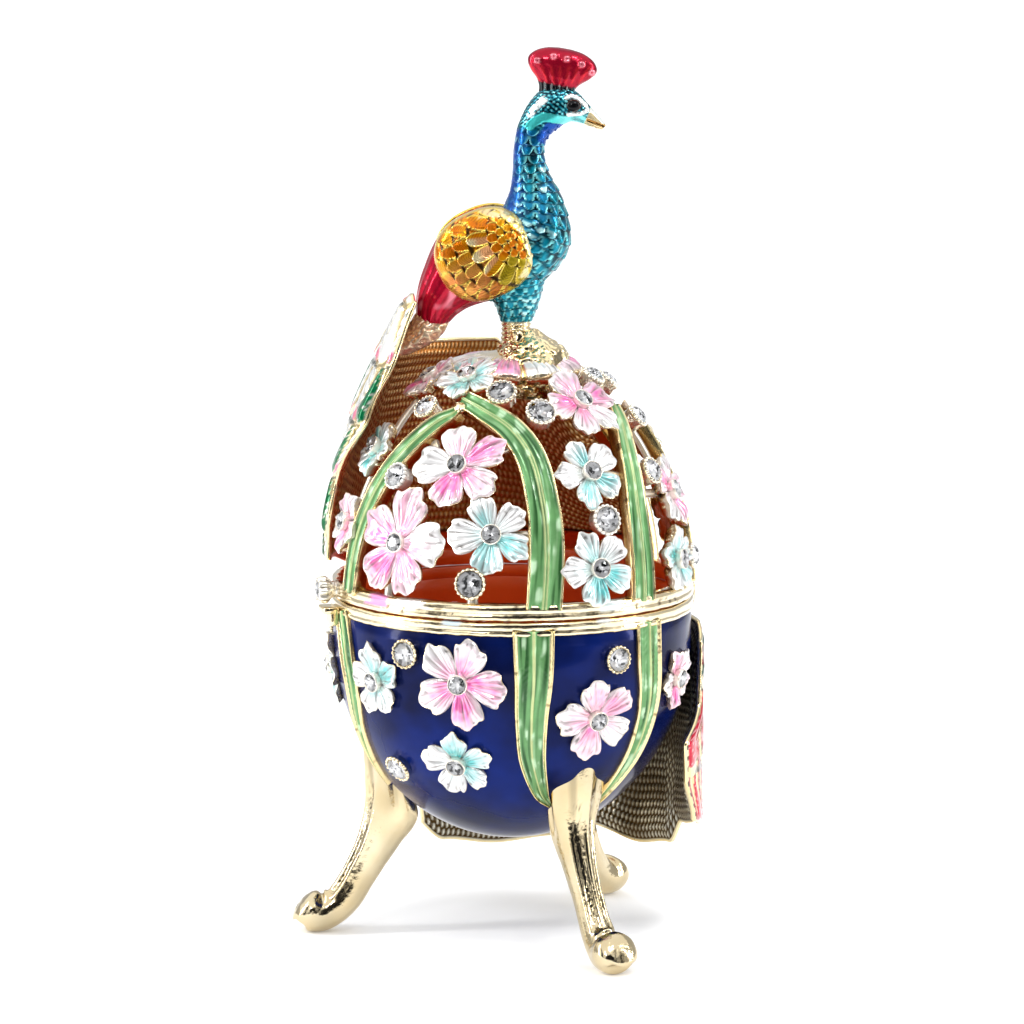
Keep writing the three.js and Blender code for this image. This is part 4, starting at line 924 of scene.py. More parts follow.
trainLook = {"thickness": 1.5, "grid": (121, 241), "bead": 0.3, "rim": 0.5}
upperTrain = {
    "radius": lambda height: 31 - 13.2 * (np.maximum(0, height - 68) / 40) ** 1.6,
    "top": [(40, 74), (62, 82), (80, 91), (90, 96.5), (98, 98.8), (150, 99.2), (162, 103), (180, 107.5), (192, 109), (204, 108), (215, 103)],
    "foot": [(40, 60.9), (150, 60.9), (172, 63.4), (215, 66.5)],
    "right": [(0, 49), (1, 49)], "left": [(0, 184), (0.28, 186), (0.55, 204), (0.8, 209), (1, 204)],
    "side": "left", "long": 9.7, "wide": 11.5, "bulb": 0.22, "shift": 2.3, "grain": (1, 0.8, 0.46, 0.5), "head": 106.6, "smooth": 64.2, "relief": 1.5, "leaves": (0.84, 0.84, 0.82, 0),
    "drops": [(0.8, 0.8, 0.78, 0), (0.001, 0.13, 0.045, 0), (0.001, 0.12, 0.04, 0), (0.001, 0.1, 0.03, 0), (0.001, 0.08, 0.03, 0)],
    "tip": (0.8, 0.2, 0.32, 0), "inner": (0.3, 0.1, 0.012, 0.1), "band": (0.62, 0.07, 0.008, 0)}
lowerTrain = {
    "radius": lambda height: 31.85 + 0 * height,
    "top": [(-30, 47), (-4, 50.6), (8, 53), (180, 53)],
    "foot": [(-30, 23), (-6, 20), (2, 18.5), (22, 16.5), (30, 12), (46, 10.6), (66, 12.6), (73, 10), (96, 8.4), (112, 9.4),
             (124, 14), (160, 17)],
    "right": [(0, -16), (0.25, -24), (0.5, -25), (0.68, -9), (1, -5)], "left": [(0, 120), (0.4, 126), (0.7, 132), (1, 134)],
    # The lower train's grain, the tops of the beads inside it, is near white without metal: painted highlights on the
    # gilt beads in the shade.
    "side": "right", "long": 13, "wide": 9.5, "bulb": 0.31, "shift": 1.3, "grain": (1, 0.97, 0.82, 0.0), "head": 55, "smooth": 0, "relief": 0.7, "leaves": (0.4, 0.005, 0.025, 0),
    "drops": [(0.002, 0.05, 0.03, 0), (0.5, 0.006, 0.03, 0), (0.5, 0.006, 0.03, 0), (0.42, 0.005, 0.025, 0), (0.4, 0.005, 0.02, 0)],
    "tip": (0.002, 0.05, 0.03, 0), "inner": (0.06, 0.033, 0.006, 0.1), "band": (0.3, 0.035, 0.004, 0)}


# A smooth line through a few stops of (place, value).
def through(stops, place):
    stops = np.array(stops, float)
    k = np.clip(np.searchsorted(stops[:, 0], place, side="left"), 1, len(stops) - 1)
    low, high = stops[k - 1], stops[k]
    t = np.clip((place - low[..., 0]) / (high[..., 0] - low[..., 0]), 0, 1)
    return low[..., 1] + (high[..., 1] - low[..., 1]) * t * t * (3 - 2 * t)


# Rows of tongues, each lying over the next row down and set off sideways by a share of its width. Returns the place across the
# tongue on top (-1 to 1), the place down it (0 to 1 at its tip, below 0 where it is uncovered), its row and column,
# and how near its outline is (1 at the outline).
def tongues(across, down, wide, long, blunt=2.2, setOff=0.5):
    row = np.floor(down / long)
    b = down / long - row
    column = across / wide + setOff * (row % 2)
    nextColumn = across / wide + setOff * ((row + 1) % 2)
    a, a2 = (column % 1) * 2 - 1, (nextColumn % 1) * 2 - 1
    reach = np.sqrt(np.maximum(1 - b ** blunt, 1e-4))
    under = np.abs(a) > reach
    edge = np.where(under, np.clip(2 - np.abs(a) / reach, 0, 1), np.abs(a) / reach)
    return (np.where(under, a2, a), np.where(under, b - 1, b), row + under,
            np.floor(np.where(under, nextColumn, column)), edge, under)


# Long feathers on the outside of the train, over one another like shingles. Each has an enamel teardrop whose half
# width grows from its quill to a round bulb, a ribbed leaf on both sides of it, and a tinted tip.
def trainFeathers(across, down, look):
    a, b, row, column, edge, under = tongues(across, down, look["wide"], look["long"], 2.4, 0.16)
    u, v = a * look["wide"] / 2, b * look["long"]
    bulb, size = 0.66 * look["long"], look["bulb"] * look["wide"]
    tail = size * np.clip((v + 0.2 * look["long"]) / (bulb + 0.2 * look["long"]), 0.12, 1) ** 1.3
    drop = np.where(v < bulb, 1 - (u / tail) ** 2, 1 - (u ** 2 + ((v - bulb) * 1.1) ** 2) / size ** 2)
    ribs = np.cos((np.abs(u) * 1.1 + v * 0.9) * 2 * math.pi / 1.5)
    leaf = ease(np.abs(a), look["bulb"] + 0.14, look["bulb"] + 0.24) * ease(-edge, -0.92, -0.84)
    lift = look["relief"] * (0.05 + 0.28 * np.clip(b, 0, 1) + 0.06 * ribs * leaf + 0.5 * np.sqrt(np.clip(drop, 0, 1))
                             + 0.3 * leaf * np.cos((np.abs(a) - 0.62) * 3))
    outline = ease(edge, 0.84, 0.92) * (b > -0.02)
    drops = np.array(look["drops"])[np.clip(row, 0, len(look["drops"]) - 1).astype(int)]
    paint = blendColours(((1, 0.9, 0.65, 1), np.ones_like(a)), (look["leaves"], leaf), ((0.03, 0.035, 0.03, 0.2), 0.6 * leaf * ease(-ribs, 0.5, 0.9)),
                         (look["tip"], leaf * ease(b, 0.62, 0.72)))
    inDrop = ease(drop, 0.0, 0.1)[..., None]
    paint = paint * (1 - inDrop) + drops * inDrop
    # The pale squiggles on the drops are painted highlights, and the dark strip just below each feather's tip is
    # painted shadow of that feather on the row under it.
    squiggleHighlight = ease(np.sin(u * 3.1 + 1.5 * np.sin(v * 2.1)) * np.sin(v * 2.9 + u), 0.72, 0.86) * ease(drop, 0.1, 0.4)
    return lift, blendWith(paint, ((0.95, 0.8, 0.8, 0), 0.55 * squiggleHighlight), ((1, 0.95, 0.75, 1), outline),
                           ((0.01, 0.02, 0.012, 0.1), 0.85 * ease(-b, 0.0, 0.03) * (1 - ease(-b, 0.06, 0.16))))


# A curved wall between a foot line and a top line that follow the azimuth. Outside it carries the feathers and
# inside rows of beads, four grid lines apart, and a round gold rim runs along its border.
def trainWall(look):
    rows, columns = trainLook["grid"]
    up, share = np.linspace(0, 1, rows)[:, None], np.linspace(0, 1, columns)[None, :]
    left, right = through(look["left"], up), through(look["right"], up)
    azimuth = right + (left - right) * share
    foot, top = through(look["foot"], azimuth), through(look["top"], azimuth)
    height = foot + (top - foot) * up
    radius = look["radius"](height)
    sides = np.minimum(share, 1 - share) * np.radians(left - right) * radius
    upper = np.minimum(sides, (1 - up) * (top - foot))
    border = np.minimum(upper, up * (top - foot))
    innerBorder = upper if look["smooth"] else border
    rim = np.sqrt(np.clip(1 - ((innerBorder - trainLook["rim"] / 2) / (trainLook["rim"] / 2)) ** 2, 0, 1))
    inCell = ease(innerBorder, trainLook["rim"] * 0.8, trainLook["rim"] * 1.3)
    edge, way = (left, 1) if look["side"] == "left" else (right, -1)
    fromEdge = way * np.radians(edge - azimuth) * radius
    fromEdge += look["shift"] + way * np.radians(edge.mean() - edge) * radius * ease(fromEdge, 6, 26)
    feathers, paint = trainFeathers(fromEdge, look["head"] - height, look)
    thickness = trainLook["thickness"] - 1.05 * (1 - ease(border, 0, 3))
    c, r = np.arange(columns)[None, :], np.arange(rows)[:, None]
    shift = ((r + 2) // 4) % 2 * math.pi * 2 / 3
    bead = (0.5 + 0.5 * np.cos(c * math.pi * 2 / 3 + shift)) * (0.5 + 0.5 * np.cos(r * math.pi / 2))
    smooth = 1 - ease(height, look["smooth"], look["smooth"] + 0.3)
    bead = bead * inCell * (1 - smooth)
    innerLift = trainLook["bead"] * bead + 0.3 * rim
    groove = np.exp(-((height - look["smooth"] - 0.35) / 0.3) ** 2)
    at = lambda out: np.stack([out * np.cos(np.radians(azimuth)), out * np.sin(np.radians(azimuth)), height + 0 * azimuth], -1)
    outer, inner = at(radius + feathers * ease(border, 0, 1.2)), at(radius - thickness - innerLift)
    comb = 1 - ease(sides, 0.4, 0.55)
    tooth = ease(np.cos(height * 2 * math.pi / 2.1 + ripple(outer, 4, 12)), -0.5, 0.0)
    outerPaint = blendWith(paint, ((1, 0.95, 0.78, 1), comb * tooth), ((0.002, 0.05, 0.025, 0), comb * (1 - tooth)),
                           ((1, 0.95, 0.78, 1), 1 - ease(border, 0.2, 0.35)))
    cloud = 0.45 + 0.55 * ease(ripple(inner, 12, 4), -0.6, 0.8)
    innerPaint = blendColours((look["inner"], 1 + 0 * radius), (look["grain"], ease(bead, 0.15, 0.7) * cloud),
                              (look["band"], smooth), ((0.01, 0.006, 0.004, 0), groove * inCell), ((1, 1, 0.9, 1), 1 - inCell))
    return slab(outer, inner, outerPaint, innerPaint, (0, 1))


# The stub that carries the train from the wall up to the rump, stippled all over.
def trainNeck():
    stations = [(-19.4, 98.4, 2.2), (-17.6, 99.8, 3.2), (-15.8, 101.2, 3.5), (-14.4, 102.8, 3.3), (-13.6, 104.6, 3), (-12.8, 107, 2.6)]
    line = smoothLine(stations, 60)
    turn = np.linspace(0, 2 * math.pi, 96, endpoint=False)[None, :]
    half = line[:, 2:]
    points = np.stack([line[:, :1] + half * np.cos(turn), 0.8 * half * np.sin(turn), line[:, 1:2] + 0 * turn], -1)
    rough = ripple(points, 0.9, 31)
    outward = unit(points - np.stack([line[:, 0], 0 * line[:, 0], line[:, 1]], -1)[:, None])
    paint = blendColours(((0.7, 0.42, 0.28, 0.2), 1 + 0 * rough), ((1, 0.88, 0.76, 0.7), ease(rough, -0.3, 0.4)))
    return tube(points + outward * 0.16 * rough[..., None], paint)


def makeTrain():
    makePiece("upperTrain", "lid", [trainWall(upperTrain)], [trainEnamel, antiqueGold], replaced=["upper_train"])
    makePiece("trainNeck", "lid", [trainNeck()], [antiqueGold])
    makePiece("lowerTrain", "base", [trainWall(lowerTrain)], [trainEnamel, antiqueGold], replaced=["lower_train"])


makeTrain()

# ---- peacock

bird = {"rows": 421, "around": 132, "scaleWide": 2.1, "scaleLong": 1.55,
        "teal": (0.002, 0.2, 0.28, 0), "deep": (0.0005, 0.012, 0.02, 0), "mint": (0.2, 0.66, 0.68, 0),
        "royal": (0.003, 0.055, 0.3, 0), "crimson": (0.42, 0.004, 0.025, 0), "aqua": (0.05, 0.5, 0.48, 0),
        "white": (0.85, 0.9, 0.88, 0), "gilt": (1, 1, 1, 1),
        "spine": [(-13.3, 103.9, 2.4, 2.6, 84), (-13.2, 104.6, 2.9, 3.0, 80), (-12.6, 106.6, 3.7, 3.7, 68), (-10.9, 109.6, 5, 4.6, 52), (-7.2, 113.4, 7.2, 6, 38),
                  (-1.6, 116, 8, 6.4, 34), (3.4, 119.4, 6.6, 5.6, 62), (3.6, 124.6, 4.5, 4, 86), (2.8, 128.6, 3, 2.9, 94),
                  (2.5, 132.4, 2.5, 2.5, 90), (3.5, 136.2, 2.7, 2.5, 64), (6.2, 139.4, 3.4, 2.8, 26), (9.3, 139.8, 2.7, 2.3, -6),
                  (11.4, 138.6, 1.7, 1.5, -32), (13.3, 137.3, 1.15, 1.0, -38), (14.9, 136.2, 0.5, 0.5, -44)],
        "thigh": [(-0.6, 114, 6.2, 5), (-0.1, 110.5, 5.2, 4.4), (0.5, 107.4, 3.8, 3.4), (0.6, 105, 2.9, 2.5), (0.5, 103.6, 2.4, 2), (0.6, 102, 2.5, 2.2),
                  (0.9, 100, 3.0, 2.7)],
        "rock": [(3, 92, 7, 9.6), (3.1, 97, 6.2, 8.4), (3.1, 99.4, 5.2, 5.8), (2.4, 101, 3.5, 3.6), (1.2, 102.4, 2.4, 2.3)],
        "crest": [(6.9, 141.2, 2.7, 1.3), (6.9, 142.6, 2.9, 1.4), (7, 143.7, 3.5, 1.6), (7.1, 144.9, 4.8, 1.9), (7.2, 146.2, 5.7, 2.1),
                  (7.2, 147.3, 5.6, 2), (7.2, 148.3, 4.6, 1.6), (7.2, 149, 3.0, 1.0), (7.2, 149.3, 1.2, 0.4)], "crestTilt": -10,
        "crestDots": [(3.95, 147.3), (6.59, 148.0), (8.72, 147.6), (11.11, 146.7), (12.8, 145.3)],
        "cheek": [(11.24, 137.64), (8.85, 137.46), (6.63, 137.8), (4.92, 138.13), (3.39, 137.28), (2.7, 136.6)],
        "nape": [(5.08, 141.03), (3.72, 139.84), (2.7, 138.47)], "throat": [(4.9, 134.6), (6.0, 136.2), (7.6, 136.6)],
        "eyeLine": [(8.67, 141.21), (9.52, 141.56), (10.71, 141.05), (11.91, 139.86), (12.2, 139.1), (11.2, 138.6), (9.0, 138.5)],
        "eye": (9.8, 139.95)}


# Distance in the side view from each point to the nearest stretch of a line.
def nearLine(x, z, line):
    best = np.full(np.shape(x), 1e9)
    for (ax, az), (bx, bz) in zip(line[:-1], line[1:]):
        t = np.clip(((x - ax) * (bx - ax) + (z - az) * (bz - az)) / ((bx - ax) ** 2 + (bz - az) ** 2), 0, 1)
        best = np.minimum(best, np.hypot(x - ax - t * (bx - ax), z - az - t * (bz - az)))
    return best


# Elliptical rings square to the spine. Small scales cover neck and breast in rows counted from the head, the rump
# has lengthwise grooves, and the head, back and throat are smooth.
def birdBody():
    look = bird
    line = smoothLine(look["spine"], look["rows"])
    turn = np.linspace(0, 2 * math.pi, look["around"], endpoint=False)[None, :]
    x0, z0, deep, wide, lean = (line[:, k:k + 1] for k in range(5))
    lean = np.radians(lean)
    ring = lambda grow: np.stack([x0 - np.sin(lean) * (deep + grow) * np.cos(turn), (wide + grow) * np.sin(turn),
                                  z0 + np.cos(lean) * (deep + grow) * np.cos(turn)], -1)
    flat = ring(0.0)
    x, z = flat[..., 0], flat[..., 2]
    step = np.hypot(np.diff(x0[:, 0]), np.diff(z0[:, 0]))
    down = (np.concatenate([step[::-1].cumsum()[::-1], [0]]))[:, None]
    front = (turn - math.pi)
    girth = (deep + wide) / 2
    rowOf = np.floor(down / look["scaleLong"])
    rowGirth = np.interp((rowOf + 0.5) * look["scaleLong"], down[::-1, 0], girth[::-1, 0])
    a, b, row, column, edge, under = tongues(front * rowGirth, down + 0 * turn, look["scaleWide"], look["scaleLong"], 2.0)
    bright = (np.sin(row * 12.99 + column * 78.2) * 437.5) % 1
    back = np.abs((turn + math.pi) % (2 * math.pi) - math.pi)
    rump = ease(-x, 3.9, 4.7)
    head = ease(z, 135.5, 137)
    blueBack = (1 - ease(back, 0.5, 1.5)) * (1 - head) * (1 - rump)
    scaly = (1 - rump) * (1 - head) * (1 - 0.85 * blueBack)
    scale = 0.04 + 0.26 * np.clip(b, 0, 1) * (1 - 0.3 * np.abs(a)) - 0.1 * under + 0.08 * (bright - 0.5)
    grooves = np.cos(turn * 13 + 0.4 * np.sin(down * 0.8))
    beak = ease((x - 11.4) - (z - 136.6) * 0.41, 0.0, 0.35) * ease(z, 135.0, 135.6)
    crownDots = np.clip(ripple(flat, 0.75, 66), -1, 1) * head * (1 - beak)
    cheek = 1 - ease(nearLine(x, z, look["cheek"]), 0.62, 0.85)
    eyeLine = 1 - ease(nearLine(x, z, look["eyeLine"]), 0.22, 0.38)
    nape = (1 - ease(nearLine(x, z, look["nape"]), 0.35, 0.7)) * ease(ripple(flat, 1.1, 70), -0.7, 0)
    lift = scale * scaly + 0.07 * grooves * rump + 0.07 * crownDots * (1 - cheek) + 0.1 * cheek * head + 0.14 * eyeLine
    mouth = nearLine(x, z, [(11.9, 137.6), (14.9, 136.45)])
    lift -= 0.16 * beak * (1 - ease(mouth, 0.1, 0.3))
    lift *= ease(np.arange(look["rows"])[:, None], 0, 6) * (1 - ease(np.arange(look["rows"])[:, None], 410, 420))
    tone = ease(ripple(flat, 5, 61), -0.5, 0.7)
    low = ease(-z, -128, -112)
    patch = ease(ripple(flat, 2.1, 67), 0.1, 0.8)
    paint = blendColours((look["teal"], 1 + 0 * x), (look["royal"], 0.55 * tone * (1 - low)), (look["deep"], 0.85 * patch * (1 - ease(b, 0.5, 0.9))),
                         # Painted shadow: the deep colour where each scale goes in under the scales above it. Painted
                         # highlight: the pale mint over the lower half of about one scale in five.
                         (look["deep"], 0.95 * under * ease(-b, 0.0, 0.2) + 0.8 * (1 - ease(b, 0.0, 0.4)) * (b > 0)),
                         (look["mint"], ease(edge, 0.42 + 0.3 * bright, 0.9) * (b > 0.1) * (0.3 + 0.7 * ease(ripple(flat, 3.5, 63), -0.7, 0.3))),
                         ((0.5, 0.85, 0.85, 0), 0.85 * (bright > 0.8) * ease(b, 0.35, 0.6) * (1 - patch)),
                         (look["royal"], blueBack * (0.5 + 0.5 * ease(ripple(flat, 2.2, 68), -0.9, 0.1))), (look["crimson"], rump),
                         # On the rump, painted shade darkens the groove valleys and the pink patches are painted
                         # highlights.
                         ((0.16, 0.002, 0.012, 0), 0.6 * rump * ease(-grooves, 0.5, 1)), ((0.9, 0.3, 0.38, 0), 0.6 * rump * ease(ripple(flat, 4, 69), 0.4, 1)),
                         (look["deep"], head), (look["teal"], head * ease(crownDots, -0.4, 0.3)),
                         (look["mint"], head * ease(crownDots, 0.45, 0.75)),
                         (look["royal"], (1 - ease(nearLine(x, z, look["throat"]), 0.8, 1.3))),
                         (look["aqua"], cheek), (look["mint"], cheek * ease(x, 6, 9.5)), (look["white"], nape * 0.85),
                         (look["white"], eyeLine), ((0.95, 0.82, 0.52, 0.3), beak),
                         ((0.45, 0.25, 0.08, 1), beak * (1 - ease(mouth, 0.12, 0.4))),
                         # The white line along the top of the beak is a painted highlight.
                         (look["white"], beak * (1 - ease(nearLine(x, z, [(12.7, 139.3), (14.8, 137.1)]), 0.15, 0.35))))
    return tube(ring(lift), paint)


# Feathered thighs that run down into a ribbed collar.
def birdThigh():
    look = bird
    line = smoothLine(look["thigh"], 110)
    turn = np.linspace(0, 2 * math.pi, 84, endpoint=False)[None, :]
    x0, z, along, across = (line[:, k:k + 1] for k in range(4))
    a, b, row, column, edge, under = tongues((turn - math.pi) * 3.4, (114 - z) + 0.25 * np.sin(turn * 3 + z), 1.5, 1.3, 2.0)
    bright = (np.sin(row * 12.99 + column * 78.2) * 437.5) % 1
    collar = ease(-z, -104.2, -103.7)
    cleft = np.exp(-((np.abs(turn - math.pi * 1.5) - 0.0) / 0.16) ** 2) * ease(-z, -108, -105)
    lift = (0.04 + 0.2 * np.clip(b, 0, 1)) * (1 - collar) + collar * 0.12 * np.cos(z * 2 * math.pi / 0.75) - 0.5 * cleft
    points = np.stack([x0 + (along + lift) * np.cos(turn), (across + lift) * np.sin(turn), z + 0 * turn], -1)
    # Painted shadow: the deep colour where each scale goes in under the row above. Painted highlight: the pale mint on
    # about one scale in five.
    paint = blendColours((look["teal"], 1 + 0 * lift), (look["deep"], 0.85 * under * ease(-b, 0, 0.3)),
                         (look["deep"], 0.8 * (1 - ease(b, 0.0, 0.4)) * (b > 0)),
                         (look["mint"], ease(edge, 0.5 + 0.25 * bright, 0.92) * (b > 0.1)), ((0.5, 0.85, 0.85, 0), 0.8 * (bright > 0.8) * ease(b, 0.35, 0.6)),
                         (look["gilt"], collar + 0 * lift))
    return tube(points, paint)


# The rough nugget that the bird stands on: the lift falls with the distance to the nearest of many scattered points.
def birdPerch():
    line = smoothLine(bird["rock"], 90)
    turn = np.linspace(0, 2 * math.pi, 150, endpoint=False)[None, :]
    x0, z, along, across = (line[:, k:k + 1] for k in range(4))
    points = np.stack([x0 + along * np.cos(turn), across * np.sin(turn), z + 0 * turn], -1)
    rng = np.random.default_rng(77)
    pips = points[rng.integers(5, 88, 420), rng.integers(0, 150, 420)]
    gap = np.sqrt(((points[:, :, None] - pips) ** 2).sum(-1).min(-1))
    outward = unit(points - np.array([3, 0, 96]))
    lump = np.clip(1 - (gap / 0.75) ** 2, -0.3, 1)
    points = points + outward * (0.34 * lump + 0.3 * ripple(points, 4, 78))[..., None]
    # Painted shade: darker in the hollows between the lumps.
    dark = 0.6 * (1 - ease(lump, -0.3, 0.25))
    paint = np.concatenate([np.repeat((1 - dark)[..., None], 3, -1) * [1, 0.97, 0.88], np.ones_like(dark)[..., None]], -1)
    return tube(points, paint)


# A fan of flat rings, tilted back, with a round stud near the end of each plume.
def birdCrest():
    look = bird
    line = smoothLine(look["crest"], 90)
    turn = np.linspace(0, 2 * math.pi, 120, endpoint=False)[None, :]
    x0, z, along, across = (line[:, k:k + 1] for k in range(4))
    tilt = math.radians(-look["crestTilt"])
    def place(grow):
        a, b, c = (along + grow * 0.6) * np.cos(turn), (across + grow) * np.sin(turn), z + 0 * turn - 142
        return np.stack([x0 + a * math.cos(tilt) + c * math.sin(tilt), b, 142 - a * math.sin(tilt) + c * math.cos(tilt)], -1)
    flat = place(0.0)
    x, h = flat[..., 0], flat[..., 2]
    near = np.min([((x - cx) ** 4 + (h - cz) ** 4) ** 0.25 for cx, cz in look["crestDots"]], axis=0)
    fan = np.cos(np.arctan2(x - 7.6, h - 138.5) * 34) * ease(h, 142.8, 144) * (1 - ease(h, 145.8, 147.4))
    foot = 1 - ease(h + (x - 8) * 0.19, 142.9, 143.4)
    flat = place(0.28 * (1 - ease(near, 0.35, 0.75)) - 0.14 * (1 - ease(near, 0.0, 0.4)) + 0.07 * fan + 0.12 * np.cos(x * 8) * foot)
    rimLine = ease(np.abs(np.cos(turn)), 0.9, 0.98) * ease(h, 144, 145) + ease(z, 148.5, 149.1)
    paint = blendColours(((0.34, 0.004, 0.022, 0.05), 1 + 0 * x), ((0.16, 0.002, 0.02, 0), 0.7 * np.clip(rimLine, 0, 1) + 0 * x),
                         # The pink rings of the studs are painted highlights and their dark centres painted shade in
                         # the dips.
                         ((0.6, 0.02, 0.03, 0), 0.7 * ease(fan, 0.2, 0.9)), ((0.72, 0.2, 0.25, 0), 1 - ease(near, 0.42, 0.52)),
                         ((0.3, 0.01, 0.03, 0), 1 - ease(near, 0.12, 0.24)), ((0.004, 0.006, 0.008, 0), foot),
                         # The faint white stripes on the black foot are painted glints.
                         (look["white"], foot * ease(np.cos(x * 5), 0.8, 0.95) * 0.3))
    return tube(flat, paint)


wing = {"centre": (-4.7, 115.5), "length": 8.3, "depth": 7.4, "square": 0.86, "tilt": 24, "shoulder": (1.9, 119.9), "inside": 2.4, "out": 4.1,
        "bounds": [0, 1.2, 2.4, 3.6, 4.8, 6.4, 9.8, 12.2, 14.3, 17], "widths": [1.3, 1.3, 1.4, 1.5, 1.8, 2.7, 2.4, 2.4, 2.6],
        "orange": (0.6, 0.15, 0.002, 0), "yellow": (0.7, 0.33, 0.006, 0), "rosy": (0.85, 0.4, 0.17, 0.1),
        "line": (0.9, 0.68, 0.12, 0.35), "cream": (0.88, 0.76, 0.45, 0.2), "olive": (0.36, 0.26, 0.008, 0), "brown": (0.36, 0.11, 0.01, 0), "dark": (0.03, 0.015, 0.004, 0)}


# A domed oval shield, covered by feathers that fan out from the shoulder: small scales, then rows of long feathers
# with fine barbs. The dome's height is the root of one less the cube of the distance out.
def birdWing(side):
    look = wing
    share = np.concatenate([np.linspace(0.01, 1, 76), [1.0, 0.97, 0.9]])[:, None]
    turn = np.linspace(0, 2 * math.pi, 160, endpoint=False)[None, :]
    tilt = math.radians(look["tilt"])
    front = np.arange(79)[:, None] < 76
    bend = lambda v: np.sign(v) * np.abs(v) ** look["square"]
    p, q = look["length"] * share * bend(np.cos(turn)), look["depth"] * share * bend(np.sin(turn))
    x = look["centre"][0] + p * math.cos(tilt) - q * math.sin(tilt)
    z = look["centre"][1] + p * math.sin(tilt) + q * math.cos(tilt)
    sx, sz = look["shoulder"]
    reach, angle = np.hypot(x - sx, z - sz), np.degrees(np.arctan2(z - sz, x - sx)) % 360
    bounds = np.array(look["bounds"])
    row = np.clip(np.searchsorted(bounds, reach) - 1, 0, len(bounds) - 2)
    b = (reach - bounds[row]) / (bounds[row + 1] - bounds[row])
    wide = np.array(look["widths"])
    def cell(r):
        r = np.clip(r, 0, len(wide) - 1)
        middle = (bounds[r] + bounds[r + 1]) / 2
        return np.radians(angle) * middle / wide[r] + 0.5 * (r % 2)
    column, under = cell(row), cell(row + 1)
    a, a2 = (column % 1) * 2 - 1, (under % 1) * 2 - 1
    outline = np.sqrt(np.maximum(1 - b ** 2.6, 1e-4))
    below = np.abs(a) > outline
    edge = np.where(below, 0, np.abs(a) / outline)
    shownRow = np.where(below, row + 1, row)
    A, B = np.where(below, a2, a), np.where(below, b - 1, b)
    barb = np.cos(np.where(shownRow > 4, B * 44 + np.abs(A) * 12, B * 9))
    dome = look["out"] * np.sqrt(1 - np.minimum(share, 1) ** 3)
    lift = 0.34 * np.clip(B, -0.3, 1) * (1 + (shownRow > 4)) * 0.8 + 0.035 * barb * (edge < 0.85) + 0.12 * (edge > 0.85)
    y = np.where(front, 3.9 + dome + lift * ease(1 - share, 0, 0.06), look["inside"])
    points = np.stack([x, side * y, z], -1)
    tone = ease(ripple(np.stack([x, 0 * x, z], -1), 4, 90), -0.6, 0.6)
    outer = shownRow > 4
    rosy = (shownRow == 5) * ease(angle, 188, 192) * (1 - ease(angle, 226, 230))
    lowerSide = (shownRow >= 4) * ease(angle, 236, 242)
    brown = lowerSide * (1 - ease(angle, 252, 256)) * (shownRow >= 6)
    frontEdge = ease(share, 0.8, 0.86) * np.clip(np.cos(turn - 0.1), 0, 1) ** 0.5 * (reach < 8)
    paint = blendColours((look["orange"], 1 + 0 * x), (look["yellow"], 0.75 * tone), (look["rosy"], rosy),
                         (look["cream"], rosy * ease(B, 0.35, 0.8)), (look["olive"], lowerSide), (look["brown"], brown),
                         (look["rosy"], 0.35 * (shownRow >= 6) * (1 - lowerSide) * ease(angle, 200, 215)),
                         # Painted shadow: the dark just below the tips of the inner rows and the dark band below the
                         # tips of the outer rows, where each feather lies over the next.
                         (look["cream"], frontEdge), (look["dark"], 1.0 * (~outer) * ease(-B, 0.0, 0.08) * (1 - 0.5 * frontEdge)),
                         (look["dark"], 0.5 * outer * ease(-barb, 0.4, 0.95) * (edge < 0.8)),
                         (look["dark"], 0.95 * outer * ease(-B, 0.0, 0.05) * (1 - ease(-B, 0.16, 0.34))),
                         (look["line"], ease(edge, 0.76, 0.86)), (look["dark"], 0.75 * outer * ease(edge, 0.93, 0.99)), (look["line"], ease(share, 0.965, 0.99)))
    return tube(points, paint)


# A glossy oval bead on each side of the head.
def birdEye(side):
    x, z = bird["eye"]
    turn = np.linspace(0, 2 * math.pi, 32, endpoint=False)[None, :]
    rise = np.linspace(-0.2, 0.5 * math.pi - 0.05, 14)[:, None]
    out = 2.0 + 0.95 * np.sin(rise) + 0 * turn
    points = np.stack([x + 1.3 * np.cos(rise) * np.cos(turn), side * out, z + 1.05 * np.cos(rise) * np.sin(turn)], -1)
    return tube(points, blendColours(((0.005, 0.005, 0.006, 0), 1 + 0 * out), ((0.12, 0.035, 0.01, 0), 0.8 * (1 - ease(rise, 0.35, 0.6)) + 0 * turn)))


def makePeacock():
    makePiece("peacockBody", "lid", [birdBody(), birdThigh()], [featherEnamel], replaced=["peacock"])
    makePiece("peacockCrest", "lid", [birdCrest()], [featherEnamel])
    makePiece("peacockWings", "lid", [birdWing(1), birdWing(-1)], [featherEnamel])
    makePiece("peacockEyes", "lid", [birdEye(1), birdEye(-1)], [featherEnamel])
    makePiece("perch", "lid", [birdPerch()], [gold])


makePeacock()

# ---- clasp and hinge

# Stands local points at a height and azimuth: their z points out from the egg and their y up.
def facingOut(azimuth, out, height):
    c, d = math.cos(math.radians(azimuth)), math.sin(math.radians(azimuth))
    axes = np.array([[d, -c, 0], [0, 0, 1], [c, d, 0]])
    return lambda local: local @ axes + [out * c, out * d, height]


